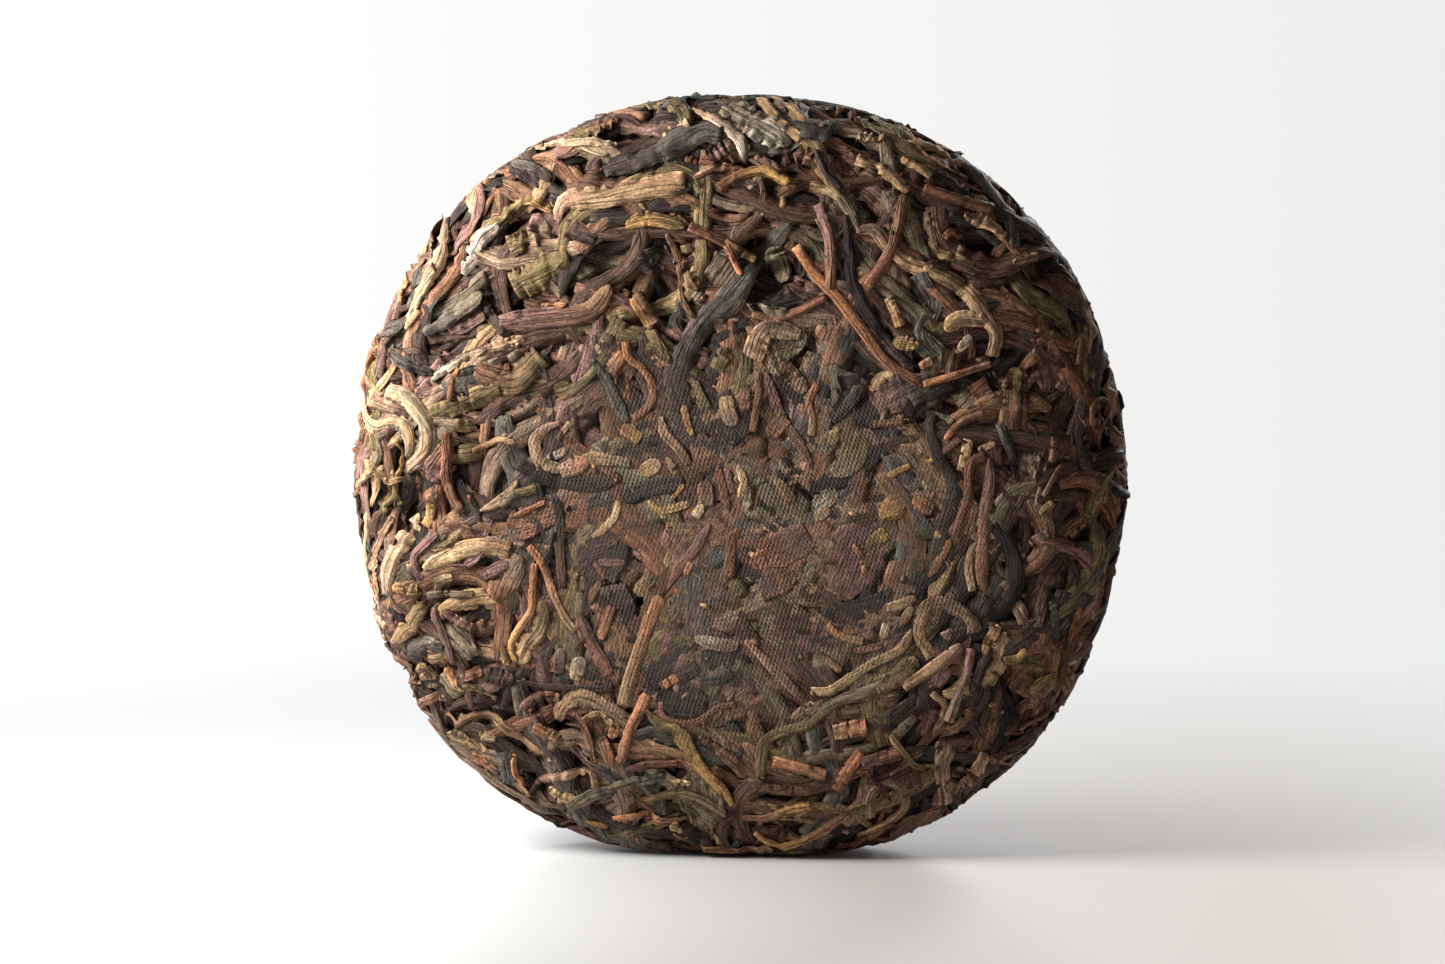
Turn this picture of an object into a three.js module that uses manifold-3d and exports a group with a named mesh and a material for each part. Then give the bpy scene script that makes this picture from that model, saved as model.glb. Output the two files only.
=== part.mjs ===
// A small pressed cake of raw pu erh tea, standing upright on its rim.
//
// The cake is one compressed disc of twisted leaves, buds and stems, so it is one solid:
// a slightly smaller lumpy core with the largest leaves fused on, cut flat where it stands.
// Millimetres. The disc's axis runs along Y, the face that shows looks to -Y, and +Z is up.

import * as THREE from "three";
import { mergeVertices } from "three/addons/utils/BufferGeometryUtils.js";
import Module from "manifold-3d";

const wasm = await Module();
wasm.setup();

// Sizes of the cake.
const CAKE_RADIUS = 51.9;
const CAKE_HALF_THICKNESS = 10.8;
const CORNER_SWELL = 0.01;
const FACE_POWER = 5;
const RIM_POWER = 3;
const DIMPLE_RADIUS = 17;
const DIMPLE_DEPTH = 3.8;
const FOOT_DEPTH = 1.3;

// The cloth bag presses the middle of both faces smooth, and leaves deep gaps outside it.
const PRESSED_RADIUS = 20;
const LOOSE_RADIUS = 32;
const PRESSED_INSET = 0.4;
const LOOSE_INSET = 1.4;
const PRESSED_RISE = 0.25;
const LOOSE_RISE = 0.6;

// The core's relief: lumps as wide as the smaller leaves that the fused ones cover.
const CORE_SECTORS = 40;
const CORE_RINGS = 18;
const LUMP_HEIGHT = 0.3;
const LUMP_WAVES = 7;
const LUMP_LENGTH = [5.6, 12];

// Leaves: every one is a bent, slightly twisted strip with four flat sides.
const LEAF_STEP = 4.4;
const LEAF_BEND = 32;
const LEAF_THICKNESS_SHARE = 0.7;
const LEAF_LEAST_THICKNESS = 2.3;
const LEAF_TIP_SHARE = 0.5;
const LEAF_LEAN = 0.22;
const LEAF_TWIST = 0.5;
const LEAF_WAVE = 0.2;

// The leaves that the seeded rule lays: over the middle of the face, over the whole back,
// and in rows along the rim. Each pair is the least and the most; turns are in radians.
const FACE_SPREAD = { count: 9, side: -1, radius: [3, 25] };
const BACK_SPREAD = { count: 27, side: 1, radius: [4, 45] };
const SPREAD_LEAF = { length: [10, 19], width: [2.4, 4], turn: [-0.7, 0.7] };
const SPREAD_STRAY = 0.2;
const EDGE_FREEDOM = 0.5;
const RIM_ROWS = [-4.8, 0, 4.8];
const LEAVES_IN_A_RIM_ROW = 9;
const RIM_LEAF = { length: [17, 27], width: [2.6, 4], turn: [-0.15, 0.15] };
const RIM_LEAN = 0.16;
const RIM_STRAY = 0.15;
const SEED = 20210;

// How finely the form is followed.
const SLOPE_REACH = 0.01;
const SETTLE_ROUNDS = 6;
const PROFILE_STEPS = 2000;
const FARTHEST_REACH = 0.995;
const MERGE_DISTANCE = 1e-4;

const GOLDEN_ANGLE = Math.PI * (3 - Math.sqrt(5));
const FULL_TURN = 2 * Math.PI;

// The leaves that stand out on the face: where the middle of each lies, measured right (x)
// and up (z) from the middle of the disc, which way it heads, how long and wide it is, and
// how far it turns from end to end. Angles are in degrees, counter-clockwise.
const FACE_LANDMARKS = [
  { name: "long bare stem", x: -13, z: -22.5, heading: 71, length: 19, width: 2.2, turn: 6 },
  { name: "olive stalk, long arm", x: 11.5, z: -31, heading: 28, length: 20, width: 2.2, turn: 10 },
  { name: "olive stalk, short arm", x: 3.6, z: -36.4, heading: 82, length: 7, width: 2, turn: -35 },
  { name: "cream leaf over the stalk", x: 16, z: -25.8, heading: 29, length: 15, width: 2.2, turn: 22 },
  { name: "tan leaf beside the ring", x: 26.2, z: -25.2, heading: 36, length: 12, width: 2.2, turn: 12 },
  { name: "tan ring", x: 26.6, z: -17.6, heading: 62, length: 15, width: 2.2, turn: -170 },
  { name: "gold olive leaf", x: -6.6, z: -36.6, heading: -52, length: 19, width: 2.5, turn: -18 },
  { name: "mauve stick", x: -19.6, z: -22, heading: -66, length: 10, width: 2.2, turn: 4 },
  { name: "curled grey leaf", x: -19.6, z: -30, heading: 8, length: 14, width: 2.3, turn: -95 },
  { name: "black oval leaf", x: -7.6, z: -29.6, heading: -12, length: 7, width: 4.6, turn: 0 },
  { name: "brown stick", x: 8.4, z: -38.6, heading: -14, length: 9, width: 2.1, turn: 0 },
  { name: "grey loop", x: 21, z: -41.4, heading: 0, length: 14, width: 1.9, turn: -150 },
  { name: "pink leaf at the lower right", x: 30.6, z: -38.8, heading: 50, length: 9, width: 3, turn: 12 },
  { name: "charcoal strip at the right", x: 33, z: -24, heading: 66, length: 12, width: 2.2, turn: 8 },
  { name: "brown upright leaf", x: 33.4, z: -6.4, heading: 88, length: 20, width: 2.5, turn: 5 },
  { name: "charcoal curve", x: 27.6, z: -1, heading: 98, length: 24, width: 2.5, turn: 40 },
  { name: "long orange stem", x: 17, z: 20.8, heading: -48, length: 24, width: 1.9, turn: 20 },
  { name: "long black strip", x: 18.6, z: 21.6, heading: -60, length: 22, width: 2.1, turn: 26 },
  { name: "grey to tan leaf", x: 27, z: 27.6, heading: -38, length: 26, width: 2, turn: -60 },
  { name: "pink grey leaf", x: 4.4, z: 18.6, heading: 22, length: 8, width: 3.6, turn: 0 },
  { name: "slate leaf", x: -4.4, z: 20.6, heading: 58, length: 22, width: 3.8, turn: -30 },
  { name: "mauve brown leaf", x: -25, z: 22.8, heading: 12, length: 17, width: 3.2, turn: 30 },
  { name: "broad tan leaf", x: -16.4, z: 38.6, heading: 14, length: 19, width: 3.4, turn: -10 },
  { name: "charcoal leaf at the top", x: -10.6, z: 44.6, heading: 20, length: 16, width: 3.6, turn: -20 },
  { name: "long red to gold strip", x: 8, z: 40, heading: -24, length: 20, width: 1.9, turn: -70 },
  { name: "pink forked bud", x: -41.2, z: 28, heading: 62, length: 16, width: 2.1, turn: 22 },
  { name: "pale grey branch", x: -36.6, z: 16.6, heading: 33, length: 13, width: 1.9, turn: -14 },
  { name: "olive leaf", x: -36.6, z: 10.6, heading: 20, length: 11, width: 3, turn: 6 },
  { name: "cream curl", x: -42.4, z: 7.6, heading: -86, length: 14, width: 2.4, turn: -100 },
  { name: "red stem at the left", x: -39.2, z: 1.4, heading: -86, length: 11, width: 2, turn: 22 },
  { name: "pale flat bud", x: -45.4, z: -9.6, heading: 70, length: 11, width: 2.8, turn: -18 },
  { name: "pink tan strip", x: -48.2, z: -9.6, heading: 80, length: 13, width: 1.8, turn: -40 },
  { name: "broad cream leaf", x: -36.4, z: -9.6, heading: 16, length: 13, width: 3, turn: -36 },
  { name: "pink bent leaf", x: -26.4, z: 4.4, heading: -104, length: 11, width: 2, turn: 80 },
  { name: "black leaf", x: -23, z: 0.6, heading: -14, length: 15, width: 2.6, turn: 16 },
  { name: "olive grey leaf", x: -27.6, z: -20, heading: 66, length: 11, width: 3, turn: 14 },
  { name: "slate flat leaf", x: -42, z: -22.4, heading: 10, length: 7, width: 3.4, turn: -16 },
  { name: "brown grey leaf", x: -31, z: -13.6, heading: 58, length: 9, width: 3.6, turn: 6 },
  { name: "lower left strand", x: -33.4, z: -36.4, heading: -46, length: 24, width: 2.2, turn: 12 },
  { name: "second lower left strand", x: -29, z: -34.6, heading: -38, length: 20, width: 2.2, turn: 16 },
  { name: "brown upright strip", x: 37.6, z: 10.4, heading: 91, length: 17, width: 3.4, turn: 6 },
  { name: "long strip by the right edge", x: 42.6, z: -13, heading: 86, length: 24, width: 3, turn: 10 },
  { name: "red strip by the right edge", x: 44.6, z: -23, heading: 70, length: 15, width: 2.6, turn: 14 },
  { name: "thin loop by the right edge", x: 47.4, z: 6.6, heading: 94, length: 15, width: 2.2, turn: 20 },
  { name: "gold arc at the bottom", x: 6.4, z: -47, heading: 6, length: 17, width: 1.9, turn: 64 },
];

function seededDraw(seed) {
  let state = seed;
  return () => {
    state = (state + 0x6d2b79f5) | 0;
    let mixed = Math.imul(state ^ (state >>> 15), 1 | state);
    mixed = (mixed + Math.imul(mixed ^ (mixed >>> 7), 61 | mixed)) ^ mixed;
    return ((mixed ^ (mixed >>> 14)) >>> 0) / 4294967296;
  };
}

const draw = seededDraw(SEED);
const between = (low, high) => low + (high - low) * draw();
const degrees = (angle) => THREE.MathUtils.degToRad(angle);

// The smooth form that the leaves are pressed to.

function outlineRadius(x, z) {
  return CAKE_RADIUS * (1 - CORNER_SWELL * Math.cos(4 * Math.atan2(z, x)));
}

function halfThickness(radius, y) {
  const inward = 1 - (radius / DIMPLE_RADIUS) ** 2;
  const dimple = y > 0 && inward > 0 ? DIMPLE_DEPTH * inward * inward : 0;
  return CAKE_HALF_THICKNESS - dimple;
}

// Zero on the form, negative inside it and positive outside.
function formLevel(x, y, z) {
  const radius = Math.hypot(x, z);
  const reach = radius / outlineRadius(x, z);
  const depth = Math.abs(y) / halfThickness(radius, y);
  return reach ** FACE_POWER + depth ** RIM_POWER - 1;
}

function formSlope(point) {
  const slope = (axis) => {
    const ahead = point.clone().addScaledVector(axis, SLOPE_REACH);
    const behind = point.clone().addScaledVector(axis, -SLOPE_REACH);
    return (formLevel(...ahead) - formLevel(...behind)) / (2 * SLOPE_REACH);
  };
  return new THREE.Vector3(
    slope(new THREE.Vector3(1, 0, 0)),
    slope(new THREE.Vector3(0, 1, 0)),
    slope(new THREE.Vector3(0, 0, 1)),
  );
}

// Moves a point onto the form, and gives the way out of the form there.
function settle(point) {
  const settled = point.clone();
  for (let round = 0; round < SETTLE_ROUNDS; round += 1) {
    const slope = formSlope(settled);
    settled.addScaledVector(slope, -formLevel(...settled) / slope.lengthSq());
  }
  return { point: settled, outward: formSlope(settled).normalize() };
}

// From the low value in the pressed middle to the high one in the loose ring round it.
function byLooseness(point, low, high) {
  const radius = Math.hypot(point.x, point.z);
  const loose = THREE.MathUtils.smoothstep(radius, PRESSED_RADIUS, LOOSE_RADIUS);
  return THREE.MathUtils.lerp(low, high, loose);
}

// The core.

function lumpWaves() {
  return Array.from({ length: LUMP_WAVES }, () => {
    const way = new THREE.Vector3(between(-1, 1), between(-1, 1), between(-1, 1)).normalize();
    way.multiplyScalar(FULL_TURN / between(...LUMP_LENGTH));
    return { way, start: between(0, FULL_TURN) };
  });
}

function lumpAt(waves, point) {
  const sum = waves.reduce((total, wave) => total + Math.sin(wave.way.dot(point) + wave.start), 0);
  return (LUMP_HEIGHT * sum) / Math.sqrt(waves.length);
}

// Points of the disc's half outline at even distances, from the front pole to the back one.
function profilePoints() {
  const fine = [];
  for (let step = 0; step <= PROFILE_STEPS; step += 1) {
    const angle = (Math.PI * step) / PROFILE_STEPS;
    const radius = CAKE_RADIUS * Math.max(Math.sin(angle), 0) ** (2 / FACE_POWER);
    const depth = Math.abs(Math.cos(angle)) ** (2 / RIM_POWER);
    const y = -Math.sign(Math.cos(angle)) * depth * CAKE_HALF_THICKNESS;
    const onAxis = step === 0 || step === PROFILE_STEPS;
    fine.push(new THREE.Vector2(onAxis ? 0 : radius, y));
  }
  const curve = new THREE.CurvePath();
  fine.slice(1).forEach((point, index) => curve.add(new THREE.LineCurve(fine[index], point)));
  return curve.getSpacedPoints(CORE_RINGS);
}

function coreGeometry() {
  const waves = lumpWaves();
  const geometry = bareGeometry(new THREE.LatheGeometry(profilePoints(), CORE_SECTORS));
  moveVertices(geometry, (vertex) => {
    const { point, outward } = settle(vertex);
    const inset = byLooseness(point, PRESSED_INSET, LOOSE_INSET);
    return point.addScaledVector(outward, lumpAt(waves, point) - inset);
  });
  return geometry;
}

// Leaves.

// Walks over the form from the leaf's middle, both ways, and gives its stations in order.
function leafStations(leaf, count) {
  const step = leaf.length / (count - 1);
  const start = settle(leaf.middle);
  const walk = (sign) => {
    const stations = [];
    let here = start;
    let heading = leaf.heading.clone();
    for (let index = 0; index < (count - 1) / 2; index += 1) {
      const bend = (sign * leaf.turn) / (count - 1);
      heading.applyAxisAngle(here.outward, bend);
      heading.addScaledVector(here.outward, -heading.dot(here.outward)).normalize();
      here = settle(here.point.clone().addScaledVector(heading, sign * step));
      stations.push({ ...here, ahead: heading.clone() });
    }
    return stations;
  };
  const middle = { ...start, ahead: leaf.heading.clone() };
  return [...walk(-1).reverse(), middle, ...walk(1)];
}

// A strip 2 wide, 2 thick and 1 long is bent along the stations, flattened and twisted.
function leafGeometry(leaf) {
  const straightSteps = Math.round(leaf.length / LEAF_STEP / 2);
  const bentSteps = Math.ceil(Math.abs(leaf.turn) / degrees(LEAF_BEND) / 2);
  const segments = 2 * Math.max(1, straightSteps, bentSteps);
  const stations = leafStations(leaf, segments + 1);
  const strip = bareGeometry(new THREE.BoxGeometry(2, 1, 2, 1, segments, 1));
  const thickness = Math.max(leaf.width * LEAF_THICKNESS_SHARE, LEAF_LEAST_THICKNESS);
  moveVertices(strip, (vertex) => {
    const along = vertex.y + 0.5;
    const station = stations[Math.round(along * segments)];
    const { point, outward, ahead } = station;
    const across = new THREE.Vector3().crossVectors(ahead, outward).normalize();
    const fromEnd = 2 * Math.min(along, 1 - along);
    const taper = THREE.MathUtils.lerp(LEAF_TIP_SHARE, 1, Math.min(1, fromEnd * 2));
    const swell = 1 + LEAF_WAVE * Math.sin(leaf.start + along * leaf.waves);
    const spin = leaf.lean + (along - 0.5) * leaf.twist;
    const middle = byLooseness(point, PRESSED_RISE, LOOSE_RISE) - thickness / 2;
    const sideways = vertex.x * Math.cos(spin) - vertex.z * Math.sin(spin);
    const upward = vertex.x * Math.sin(spin) + vertex.z * Math.cos(spin);
    return point
      .clone()
      .addScaledVector(across, (sideways * taper * swell * leaf.width) / 2)
      .addScaledVector(outward, (upward * taper * thickness) / 2 + middle);
  });
  return strip;
}

function leafAt(middle, heading, length, width, turn) {
  return {
    middle,
    heading: heading.clone().normalize(),
    length,
    width,
    turn,
    start: between(0, FULL_TURN),
    waves: between(3, 7),
    lean: between(-LEAF_LEAN, LEAF_LEAN),
    twist: between(-LEAF_TWIST, LEAF_TWIST),
  };
}

function drawnLeaf(middle, heading, { length, width, turn }) {
  return leafAt(middle, heading, between(...length), between(...width), between(...turn));
}

function faceDepth(x, z) {
  const reach = Math.min(Math.hypot(x, z) / outlineRadius(x, z), FARTHEST_REACH);
  return CAKE_HALF_THICKNESS * (1 - reach ** FACE_POWER) ** (1 / RIM_POWER);
}

function inFacePlane(angle, y = 0) {
  return new THREE.Vector3(Math.cos(angle), y, Math.sin(angle));
}

function landmarkLeaf(mark) {
  const middle = new THREE.Vector3(mark.x, -faceDepth(mark.x, mark.z), mark.z);
  const heading = inFacePlane(degrees(mark.heading));
  return leafAt(middle, heading, mark.length, mark.width, -degrees(mark.turn));
}

// Leaves spread evenly over a face on a sunflower spiral: any way in the middle of it, and
// more and more along the rim towards the edge.
function spreadLeaves({ count, side, radius: [inner, outer] }) {
  return Array.from({ length: count }, (_, index) => {
    const share = (index + 0.5) / count;
    const radius = Math.sqrt(THREE.MathUtils.lerp(inner ** 2, outer ** 2, share));
    const angle = index * GOLDEN_ANGLE + between(-SPREAD_STRAY, SPREAD_STRAY);
    const middle = inFacePlane(angle).multiplyScalar(radius);
    middle.y = side * faceDepth(middle.x, middle.z);
    const freedom = THREE.MathUtils.lerp(Math.PI / 2, EDGE_FREEDOM, radius / CAKE_RADIUS);
    const heading = inFacePlane(angle + Math.PI / 2 + between(-freedom, freedom));
    return drawnLeaf(middle, heading, SPREAD_LEAF);
  });
}

// Leaves that the press has turned along the rim, in rows from the front to the back. Each
// row starts half a leaf on from the one before it.
function rimRow(y, row) {
  return Array.from({ length: LEAVES_IN_A_RIM_ROW }, (_, index) => {
    const place = index + row / 2 + between(-RIM_STRAY, RIM_STRAY);
    const angle = (place * FULL_TURN) / LEAVES_IN_A_RIM_ROW - Math.PI / 2;
    const middle = inFacePlane(angle).multiplyScalar(CAKE_RADIUS).setY(y);
    const heading = inFacePlane(angle + Math.PI / 2, between(-RIM_LEAN, RIM_LEAN));
    return drawnLeaf(middle, heading, RIM_LEAF);
  });
}

// The largest come first.
function allLeaves() {
  return [
    ...FACE_LANDMARKS.map(landmarkLeaf),
    ...spreadLeaves(FACE_SPREAD),
    ...spreadLeaves(BACK_SPREAD),
    ...RIM_ROWS.flatMap(rimRow),
  ].sort((first, second) => second.length * second.width - first.length * first.width);
}

// Joining.

function bareGeometry(geometry) {
  geometry.deleteAttribute("normal");
  geometry.deleteAttribute("uv");
  return mergeVertices(geometry, MERGE_DISTANCE);
}

function moveVertices(geometry, place) {
  const positions = geometry.attributes.position;
  const vertex = new THREE.Vector3();
  for (let index = 0; index < positions.count; index += 1) {
    const moved = place(vertex.fromBufferAttribute(positions, index));
    positions.setXYZ(index, moved.x, moved.y, moved.z);
  }
}

function solidFrom(geometry) {
  const vertProperties = new Float32Array(geometry.attributes.position.array);
  const triVerts = new Uint32Array(geometry.index.array);
  return new wasm.Manifold(new wasm.Mesh({ numProp: 3, vertProperties, triVerts }));
}

function footBlock() {
  const size = 4 * CAKE_RADIUS;
  const block = new THREE.BoxGeometry(size, size, size);
  block.translate(0, 0, FOOT_DEPTH - outlineRadius(0, -1) - size / 2);
  return solidFrom(bareGeometry(block));
}

// Keeps the outer skin alone, so that no sealed hollow and no loose scrap is left.
function outerSkin(mesh) {
  const parent = Array.from({ length: mesh.numVert }, (_, index) => index);
  const root = (index) => {
    let here = index;
    while (parent[here] !== here) {
      parent[here] = parent[parent[here]];
      here = parent[here];
    }
    return here;
  };
  const triangles = [];
  for (let index = 0; index < mesh.triVerts.length; index += 3) {
    const corners = Array.from(mesh.triVerts.slice(index, index + 3));
    parent[root(corners[1])] = root(corners[0]);
    parent[root(corners[2])] = root(corners[0]);
    triangles.push(corners);
  }
  const sizes = new Map();
  triangles.forEach(([corner]) => sizes.set(root(corner), (sizes.get(root(corner)) ?? 0) + 1));
  const largest = [...sizes.entries()].sort((first, second) => second[1] - first[1])[0][0];
  return triangles.filter(([corner]) => root(corner) === largest).flat();
}

function geometryFrom(mesh) {
  const corners = outerSkin(mesh);
  const geometry = new THREE.BufferGeometry();
  const positions = new Float32Array(mesh.vertProperties);
  geometry.setAttribute("position", new THREE.BufferAttribute(positions, 3));
  geometry.setIndex(corners);
  return geometry;
}

// Puts the origin under the middle of the cake, on the ground it stands on.
function standOnOrigin(geometry) {
  const loose = geometry.toNonIndexed();
  loose.computeBoundingBox();
  const middle = loose.boundingBox.getCenter(new THREE.Vector3());
  loose.translate(-middle.x, -middle.y, -loose.boundingBox.min.z);
  return mergeVertices(loose, MERGE_DISTANCE);
}

function cakeGeometry() {
  const leaves = allLeaves().map((leaf) => solidFrom(leafGeometry(leaf)));
  const joined = leaves.reduce((solid, leaf) => solid.add(leaf), solidFrom(coreGeometry()));
  const standing = joined.subtract(footBlock());
  const geometry = standOnOrigin(geometryFrom(standing.getMesh()));
  geometry.computeVertexNormals();
  return geometry;
}

const leafMaterial = new THREE.MeshStandardMaterial({
  color: 0x5c4838,
  roughness: 0.85,
  metalness: 0,
  flatShading: true,
});

const cake = new THREE.Mesh(cakeGeometry(), leafMaterial);
cake.name = "tea_cake";

const teaCake = new THREE.Group();
teaCake.add(cake);

export default teaCake;
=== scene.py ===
# A small pressed cake of raw pu erh tea, standing upright on its rim.
#
# Thousands of strips of leaf, bud and stem are laid one over another on a dark core and
# pressed to the form of the solid that they stand for. Sizes are in millimetres until a
# mesh is made. Points on the cake are measured from the middle of the disc: x to the
# right, y to the back and z up.

import math
from dataclasses import dataclass

import bpy
import numpy as np
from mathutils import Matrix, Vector


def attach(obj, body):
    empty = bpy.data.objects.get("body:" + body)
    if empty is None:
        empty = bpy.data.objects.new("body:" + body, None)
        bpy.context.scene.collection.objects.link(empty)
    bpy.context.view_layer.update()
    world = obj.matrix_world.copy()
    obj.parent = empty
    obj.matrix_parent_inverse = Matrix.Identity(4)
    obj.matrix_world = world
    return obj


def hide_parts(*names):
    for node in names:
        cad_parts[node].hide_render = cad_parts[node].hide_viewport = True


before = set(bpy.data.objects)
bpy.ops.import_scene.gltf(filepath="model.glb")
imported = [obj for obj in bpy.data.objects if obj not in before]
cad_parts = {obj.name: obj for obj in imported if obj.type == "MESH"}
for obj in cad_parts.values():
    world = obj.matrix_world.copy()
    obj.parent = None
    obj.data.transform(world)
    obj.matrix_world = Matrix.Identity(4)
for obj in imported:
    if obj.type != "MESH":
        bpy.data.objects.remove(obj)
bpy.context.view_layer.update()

MM = 0.001
FULL_TURN = 2 * math.pi
ANY_ANGLE = (0, FULL_TURN)
GOLDEN_SHARE = (math.sqrt(5) - 1) / 2

SEED = 1130
rng = np.random.default_rng(SEED)

# The form, as the solid has it. The outline swells a little at its corners.
CAKE_RADIUS = 51.9
CAKE_HALF_THICKNESS = 10.8
CORNERS = 4
CORNER_SWELL = 0.01
FACE_POWER = 5
RIM_POWER = 3
DIMPLE_RADIUS = 17
DIMPLE_DEPTH = 3.8
DISC_MIDDLE = np.array([-0.07, 0.08, 50.08])
FOOT_SOFTNESS = 1.2

# The cloth pressed an oval in the middle of the face smooth, and a round on the back. The
# edge of each fades, and wanders by waves with a rate right and up, a phase and a share.
FRONT_PRESS = {"x": 1.5, "z": -8.0, "wide": 27.0, "high": 22.0}
BACK_PRESS = {"x": 0.0, "z": 0.0, "wide": 17.0, "high": 17.0}
PRESS_FADE = 0.6
PRESS_WANDER = ((0.16, 0.07, 0.5, 0.1), (-0.09, 0.19, 2.1, 0.08), (0.31, 0.24, 4.4, 0.06))

# How high above the form the cloth let the leaves stand, and the share of what rises
# higher that it gave way to, in the loose ring and where it pressed them smooth.
LOOSE_TOP, PRESSED_TOP = 1.05, 0.2
LOOSE_GIVE, PRESSED_GIVE = 0.5, 0.06

# Where strips were pressed smooth they rise, lean and sink into hollows less by these
# shares, and the kinds that are spread over the face are wider.
PRESSED_RISE_LOSS = 0.75
PRESSED_LEAN_LOSS = 0.7
PRESSED_FILL = 0.86
PRESSED_SPREAD = 0.6

# Charts of heights: how deep the leaves go, the size of a cell, and how far each chart
# reaches past the middle of the rim.
BED_DEPTH = 2.6
CELL = 0.4
CHART_OVERLAP = 14.0

# The view: the frame is 1445 by 964 pixels, and a pixel is 0.1353 mm at the cake, whose
# middle is right of the frame's.
FRAME_WIDTH = 1445
PIXEL = 0.1353
CAKE_PIXELS_RIGHT = 15.5
LENS = 85.0
SENSOR = 36.0
CLIPPING = (0.01, 50.0)
VIEW_AZIMUTH = 5.5
VIEW_ELEVATION = 4.5
VIEW_DISTANCE = FRAME_WIDTH * PIXEL * LENS / SENSOR

# Lights: the way to each from the cake, as azimuth, elevation and metres, its width in
# metres, its watts and its colour.
LIGHTS = (
    ("key", (-68, 43, 0.172), 0.09, 0.6, (1.0, 0.985, 0.93)),
    ("back", (155, 30, 1.2), 0.3, 9.0, (1.0, 1.0, 1.0)),
)
LIGHT_AIM = Vector((0, 0, 0.05))

# The world's strength by direction, each as a span and the strengths at its two ends: from
# the front to the back and from left to right for what it lights, and from left to right
# for what it lights and what the camera sees.
WORLD_COLOUR = (1, 0.995, 0.99, 1)
WORLD_DEPTH = ((-0.3, 0.6), (0.22, 1.0))
WORLD_SIDES = ((-0.8, 0.8), (1.4, 0.38))
WORLD_ACROSS = ((-0.25, 0.15), (1.0, 0.83))

# The floor in metres: its reach, the middle and the ring of its fading, and the span over which its colour
# changes from left to right. Its colours are painted shade: bluish grey on the left for the tint of the
# cake's shadow, and a darker, warmer grey to the right.
FLOOR_REACH = 3.0
FLOOR_MIDDLE = (0.0, -0.1, 0.0)
FLOOR_FADE = (0.12, 0.32)
FLOOR_SPAN = (-0.06, 0.07)
FLOOR_PAINTED_SHADE_COLOURS = ((0.58, 0.6, 0.635, 1), (0.52, 0.49, 0.46, 1))
FLOOR_ROUGHNESS = 0.35

# Colours of dry tea as they look in strong light, as sRGB from 0 to 255. To look like that
# here, the tea sends back more red, green and blue by these factors.
TINT_GAIN = np.array([1.27, 1.22, 1.3])
COLOURS = {
    "black": (41, 35, 34),
    "charcoal": (56, 46, 42),
    "slate": (76, 72, 66),
    "dark-brown": (76, 56, 46),
    "brown": (108, 80, 60),
    "grey-brown": (114, 95, 78),
    "olive": (98, 84, 56),
    "grey-olive": (102, 92, 74),
    "red-brown": (110, 75, 57),
    "orange": (152, 106, 74),
    "mauve": (104, 79, 72),
    "tan": (145, 119, 87),
    "pink-tan": (147, 120, 95),
    "gold": (150, 118, 74),
    "cream": (160, 138, 103),
    "silver": (143, 134, 119),
}


@dataclass
class Kind:
    """One kind of strip. Pairs are the least and the most of what each strip gets."""

    piece: str
    flatness: float  # thickness for a width of one
    stations: int
    sides: int
    count: int = 0
    length: tuple = ()
    width: tuple = ()
    colours: dict | None = None  # words with their weights
    rows: str = ""  # strips that are listed instead of spread
    layer: tuple = (1.0, 2.0)  # its place in the order of laying
    ridge: float = 0.25  # depth of the creases, as a share of the half width
    twist: float = 0.35
    bend: float = 0.06  # radians a millimetre
    tip: tuple = (0.15, 0.5)  # width at the ends, as a share
    taper: float = 0.35  # share of the length over which an end narrows
    lift: float = 0.3  # how far loose ends stand up
    curl: float = 0.0
    wave: float = 0.0
    notch: float = 0.1  # unevenness of the width
    contrast: float = 0.16  # variety in brightness
    rise: float = -0.3  # how much higher the cloth lets it stand
    face: bool = True  # whether strips are spread over the face too
    slot: str = "tea_leaves"


DARK_COLOURS = {"black": 3, "charcoal": 6, "slate": 3, "dark-brown": 6}
BROWN_COLOURS = {"brown": 6, "grey-brown": 4, "mauve": 3, "red-brown": 2, "tan": 1}
OLIVE_COLOURS = {"olive": 3, "grey-olive": 4, "tan": 1}
STEM_COLOURS = {"red-brown": 3, "orange": 1, "brown": 5, "mauve": 2, "tan": 1}
BUD_COLOURS = {"cream": 2, "tan": 5, "pink-tan": 3, "gold": 3, "silver": 2}
BED_COLOURS = {"black": 3, "charcoal": 4, "dark-brown": 5, "brown": 3, "mauve": 1}
FLAT_COLOURS = {
    "charcoal": 3, "slate": 2, "brown": 4, "grey-olive": 3, "mauve": 3, "dark-brown": 4,
}

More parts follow.
